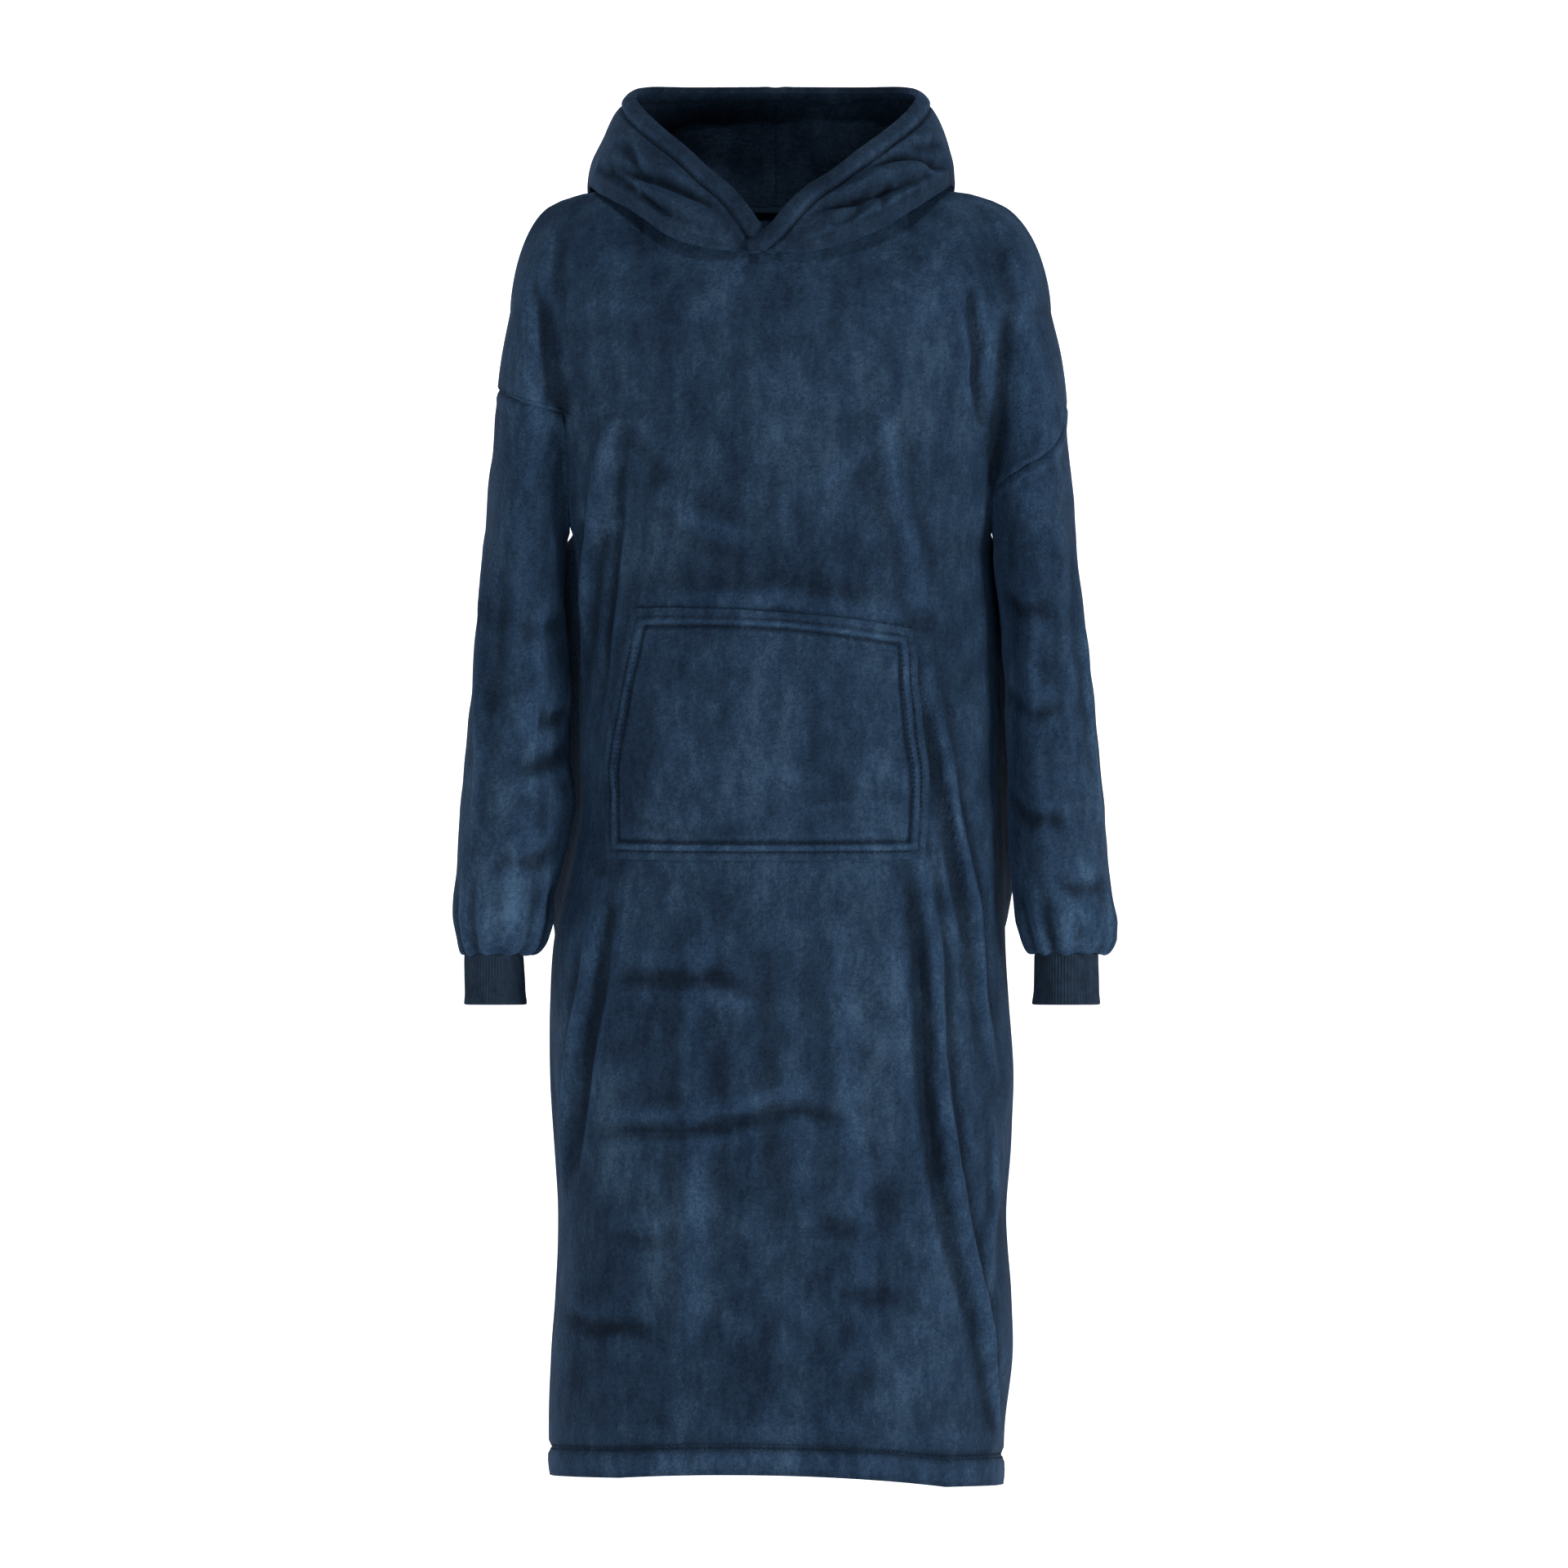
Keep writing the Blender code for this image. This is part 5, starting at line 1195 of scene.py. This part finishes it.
def hoodGrid(side, panels):
    steps = np.linspace(0.0, 1.0, hood["steps"] + 1)
    grid = np.stack([hoodProfile(step, side) for step in steps], axis=1)
    for index in range(4, hood["rows"] - 6):
        for column, step in enumerate(steps):
            wanted = hood["clearance"] * float(ease(step / 0.2))
            point = Vector(grid[index, column])
            place, direction, _, _ = panels.find_nearest(point)
            away = (point - place).dot(direction)
            if away < wanted and (point - place).length < 0.030:
                grid[index, column] = point + direction * (wanted - away)
    grid[:, -1, 0] = 0.00015 * side
    return grid


def makeHood(name, side, panels, seed):
    grid = hoodGrid(side, panels)
    normal = gridNormals(grid, -side)
    normal[:, -1, 0] = 0.0
    normal /= np.linalg.norm(normal, axis=2)[..., None]
    along = fromEdge(grid, "bottom")
    seamSide = fromEdge(grid, "right")
    outside = 1.0 - ease((np.linspace(0.0, 1.0, hood["rows"]) - 0.46) / 0.06)
    outside = np.repeat(outside[:, None], hood["steps"] + 1, axis=1)
    lift = creaseLift(grid, normal, hoodCreases[side], -1.0, outside)
    lift += creaseLift(grid, normal, hoodBackCreases[side], 1.0, outside)
    lift += unevenness(grid, hood["swells"], seed)
    lift *= ease((along - 0.012) / 0.020) * ease(fromEdge(grid, "top") / 0.030) * ease(seamSide / 0.020)
    lift += seamProfile(seamSide) * 0.3
    lift += 0.0022 * np.sin(math.pi * np.clip(along / hood["rim"], 0.0, 1.0)) ** 0.8
    lift -= ridge(along - hood["rim"], *hood["rimGroove"])
    grid = grid + normal * lift[..., None]
    double = 1.0 - ease((along - hood["rim"] + 0.002) / 0.003)
    outer = grid + normal * (0.5 * cloth["wall"] + 0.5 * (cloth["hem"] - cloth["wall"]) * double)[..., None]
    outer[:, -1, 0] = -0.0009 * side
    normal[:, -2:, 0] = 0.0
    piece = makePiece(name, outer, normal, shadedHoodFleece, double=double)
    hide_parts(name)
    return piece, outer


def panelTree():
    points, faces = [], []
    for grid, face in ((frontGrid, -1.0), (backGrid, 1.0)):
        coarse = grid[::2, ::2]
        start = len(points)
        points += [Vector(point) for point in coarse.reshape(-1, 3)]
        rows, columns = coarse.shape[:2]
        for row in range(rows - 1):
            for column in range(columns - 1):
                a = start + row * columns + column
                ring = (a, a + 1, a + columns + 1, a + columns)
                faces.append(ring if face < 0 else ring[::-1])
    return BVHTree.FromPolygons(points, faces)


panels = panelTree()
hoods = {}
for label, side, seed in (("left", 1.0, 5), ("right", -1.0, 6)):
    hoods[label], hoodOuter = makeHood("hood_" + label, side, panels, seed)
print("hood made")


# rows of stitches on the pocket and the hem, and the seam inside the hood
stitchLook = {"pitch": 0.0042, "length": 0.0030, "lift": 0.0004, "radius": 0.00042}
seamLook = {"pitch": 0.0030, "length": 0.0034, "lift": 0.0, "radius": 0.0007}
threadMaterial, _, threadShader = newMaterial("thread")
threadShader.inputs["Base Color"].default_value = (0.0030, 0.0070, 0.0140, 1.0)
threadShader.inputs["Roughness"].default_value = 0.9
threadShader.inputs["Specular IOR Level"].default_value = 0.05


def edgeLine(grid, edge, wanted):
    # the line on the cloth that keeps the wanted distance from one of its edges
    distance = fromEdge(grid, edge)
    if edge == "bottom":
        grid, distance = grid.transpose(1, 0, 2), distance.T
    line = []
    for points, away in zip(grid, distance):
        order = np.argsort(away)
        line.append([np.interp(wanted, away[order], points[order, axis]) for axis in range(3)])
    return np.array(line)


# name, the grid's edge, outward direction, and the points kept of the inner and of the outer row
pocketStitches = [
    ("bottom", "bottom", (0.0, -1.0, 0.0), slice(18, -18), slice(9, -9)),
    ("right", "left", (-0.35, -1.0, 0.0), slice(24, -15), slice(24, -15)),
    ("left", "right", (0.35, -1.0, 0.0), slice(24, -15), slice(24, -15)),
]
stitches = {pouch: [], front: [], back: []}
for label, edge, out, inner, outer in pocketStitches:
    for suffix, distance, kept in (("", pocket["hemLine"], inner), ("_edge", pocket["edgeLine"], outer)):
        line = edgeLine(pocketGrid, edge, distance)[kept]
        outward = np.repeat(np.array([out]), len(line), axis=0)
        name = f"stitch_pocket_{label}{suffix}"
        row = makeStitches(name, line, outward, stitchLook, threadMaterial)
        stitches[pouch].append(row)
hems = [(front, frontGrid, frontNormal, "front"), (back, backGrid, backNormal, "back")]
for piece, grid, normal, label in hems:
    for place, height in (("lower", 0.0235), ("upper", 0.0275)):
        line = edgeLine(grid, "bottom", height)[1:-1]
        name = f"stitch_hem_{label}_{place}"
        row = makeStitches(name, line, normal[3, 1:-1], stitchLook, threadMaterial)
        stitches[piece].append(row)

# the seam inside the hood, down the middle of its back
middleRows = slice(6, 70)
flat = np.array([0.0, 1.0, 1.0])
seamOut = gridNormals(hoodOuter, 1.0)[middleRows, -1] * flat
seamPath = hoodOuter[middleRows, -1] * flat - seamOut * 0.0034
seamRow = makeStitches("seam_hood_inside", seamPath, -seamOut, seamLook, threadMaterial)
stitches[hoods["right"]] = [seamRow]
print("stitches made")
# floor, curved up behind the garment
floorSize = {
    "halfWidth": 9.0, "front": -9.0, "length": 16.0, "level": -1.30,
    "bend": 2.5, "radius": 2.2, "run": 3.4,  # where it turns up, and how
}
floorShape = bmesh.new()
bmesh.ops.create_grid(floorShape, x_segments=40, y_segments=60, size=1.0)
for vertex in floorShape.verts:
    y = floorSize["front"] + floorSize["length"] * (vertex.co.y + 1.0) * 0.5
    past = max(0.0, y - floorSize["bend"])
    turn = min(1.0, past / floorSize["run"]) * 0.5 * math.pi
    rise = floorSize["radius"] * (1.0 - math.cos(turn)) + max(0.0, past - floorSize["run"]) * 4.0
    y = min(y, floorSize["bend"] + floorSize["radius"] * math.sin(turn))
    vertex.co = (vertex.co.x * floorSize["halfWidth"], y, floorSize["level"] + rise)
floorMaterial, floorTree, floorShader = newMaterial("pale floor")
floorShader.inputs["Base Color"].default_value = (0.88, 0.88, 0.88, 1.0)
floorShader.inputs["Roughness"].default_value = 0.9
floorShader.inputs["Emission Color"].default_value = (1.0, 1.0, 1.0, 1.0)
floorShader.inputs["Emission Strength"].default_value = 0.75
behind = floorTree.nodes.new("ShaderNodeNewGeometry").outputs["Backfacing"]  # clear when seen from behind
clear = floorTree.nodes.new("ShaderNodeBsdfTransparent")
either = floorTree.nodes.new("ShaderNodeMixShader")
floorTree.links.new(behind, either.inputs["Fac"])
floorTree.links.new(floorShader.outputs["BSDF"], either.inputs[1])
floorTree.links.new(clear.outputs["BSDF"], either.inputs[2])
floorTree.links.new(either.outputs["Shader"], floorTree.nodes["Material Output"].inputs["Surface"])
addObject("floor", floorShape, floorMaterial)

# light and camera
world = bpy.data.worlds.new("studio")
world.use_nodes = True
world.node_tree.nodes["Background"].inputs["Color"].default_value = (0.95, 0.97, 1.0, 1.0)
world.node_tree.nodes["Background"].inputs["Strength"].default_value = 0.22
bpy.context.scene.world = world


def addLamp(name, kind, place, aim, power):
    light = bpy.data.lights.new(name, kind)
    light.energy = power
    lamp = bpy.data.objects.new(name, light)
    lamp.location = place
    lamp.rotation_euler = (aim - Vector(place)).to_track_quat("-Z", "Y").to_euler()
    bpy.context.scene.collection.objects.link(lamp)
    return light


lamps = [
    # name, place, size, power
    ("key", (2.8, -2.2, -0.4), 0.8, 132.0),
    ("front", (-0.5, -2.6, -0.9), 0.8, 32.0),
    ("side", (-3.0, -1.6, 0.1), 1.2, 36.0),
]
target = Vector((0.007, 0.0, -0.504))
for name, place, size, power in lamps:
    addLamp(name, "AREA", place, target, power).size = size

# from above, into the hood
hoodLight = addLamp("hood", "SPOT", (-0.3, -2.4, 1.9), Vector((0.0, 0.07, 0.075)), 1700.0)
hoodLight.spot_size = math.radians(5.2)
hoodLight.spot_blend = 0.7
hoodLight.shadow_soft_size = 0.25

cameraData = bpy.data.cameras.new("camera")
cameraDistance = 24.0  # so far off that the picture is nearly flat, as the photo's is
pictureWidth = 1.344  # of the plane through the garment's middle, 0.70 mm for each of 1920 pixels
cameraData.sensor_width = 36.0
cameraData.clip_end = 200.0
cameraData.lens = cameraData.sensor_width * cameraDistance / pictureWidth
camera = bpy.data.objects.new("camera", cameraData)
camera.location = (target.x, -cameraDistance, target.z)
camera.rotation_euler = (math.radians(90.0), 0.0, 0.0)
bpy.context.scene.collection.objects.link(camera)
bpy.context.scene.camera = camera
bpy.context.scene.view_settings.view_transform = "Standard"
print("stage, light and camera set")
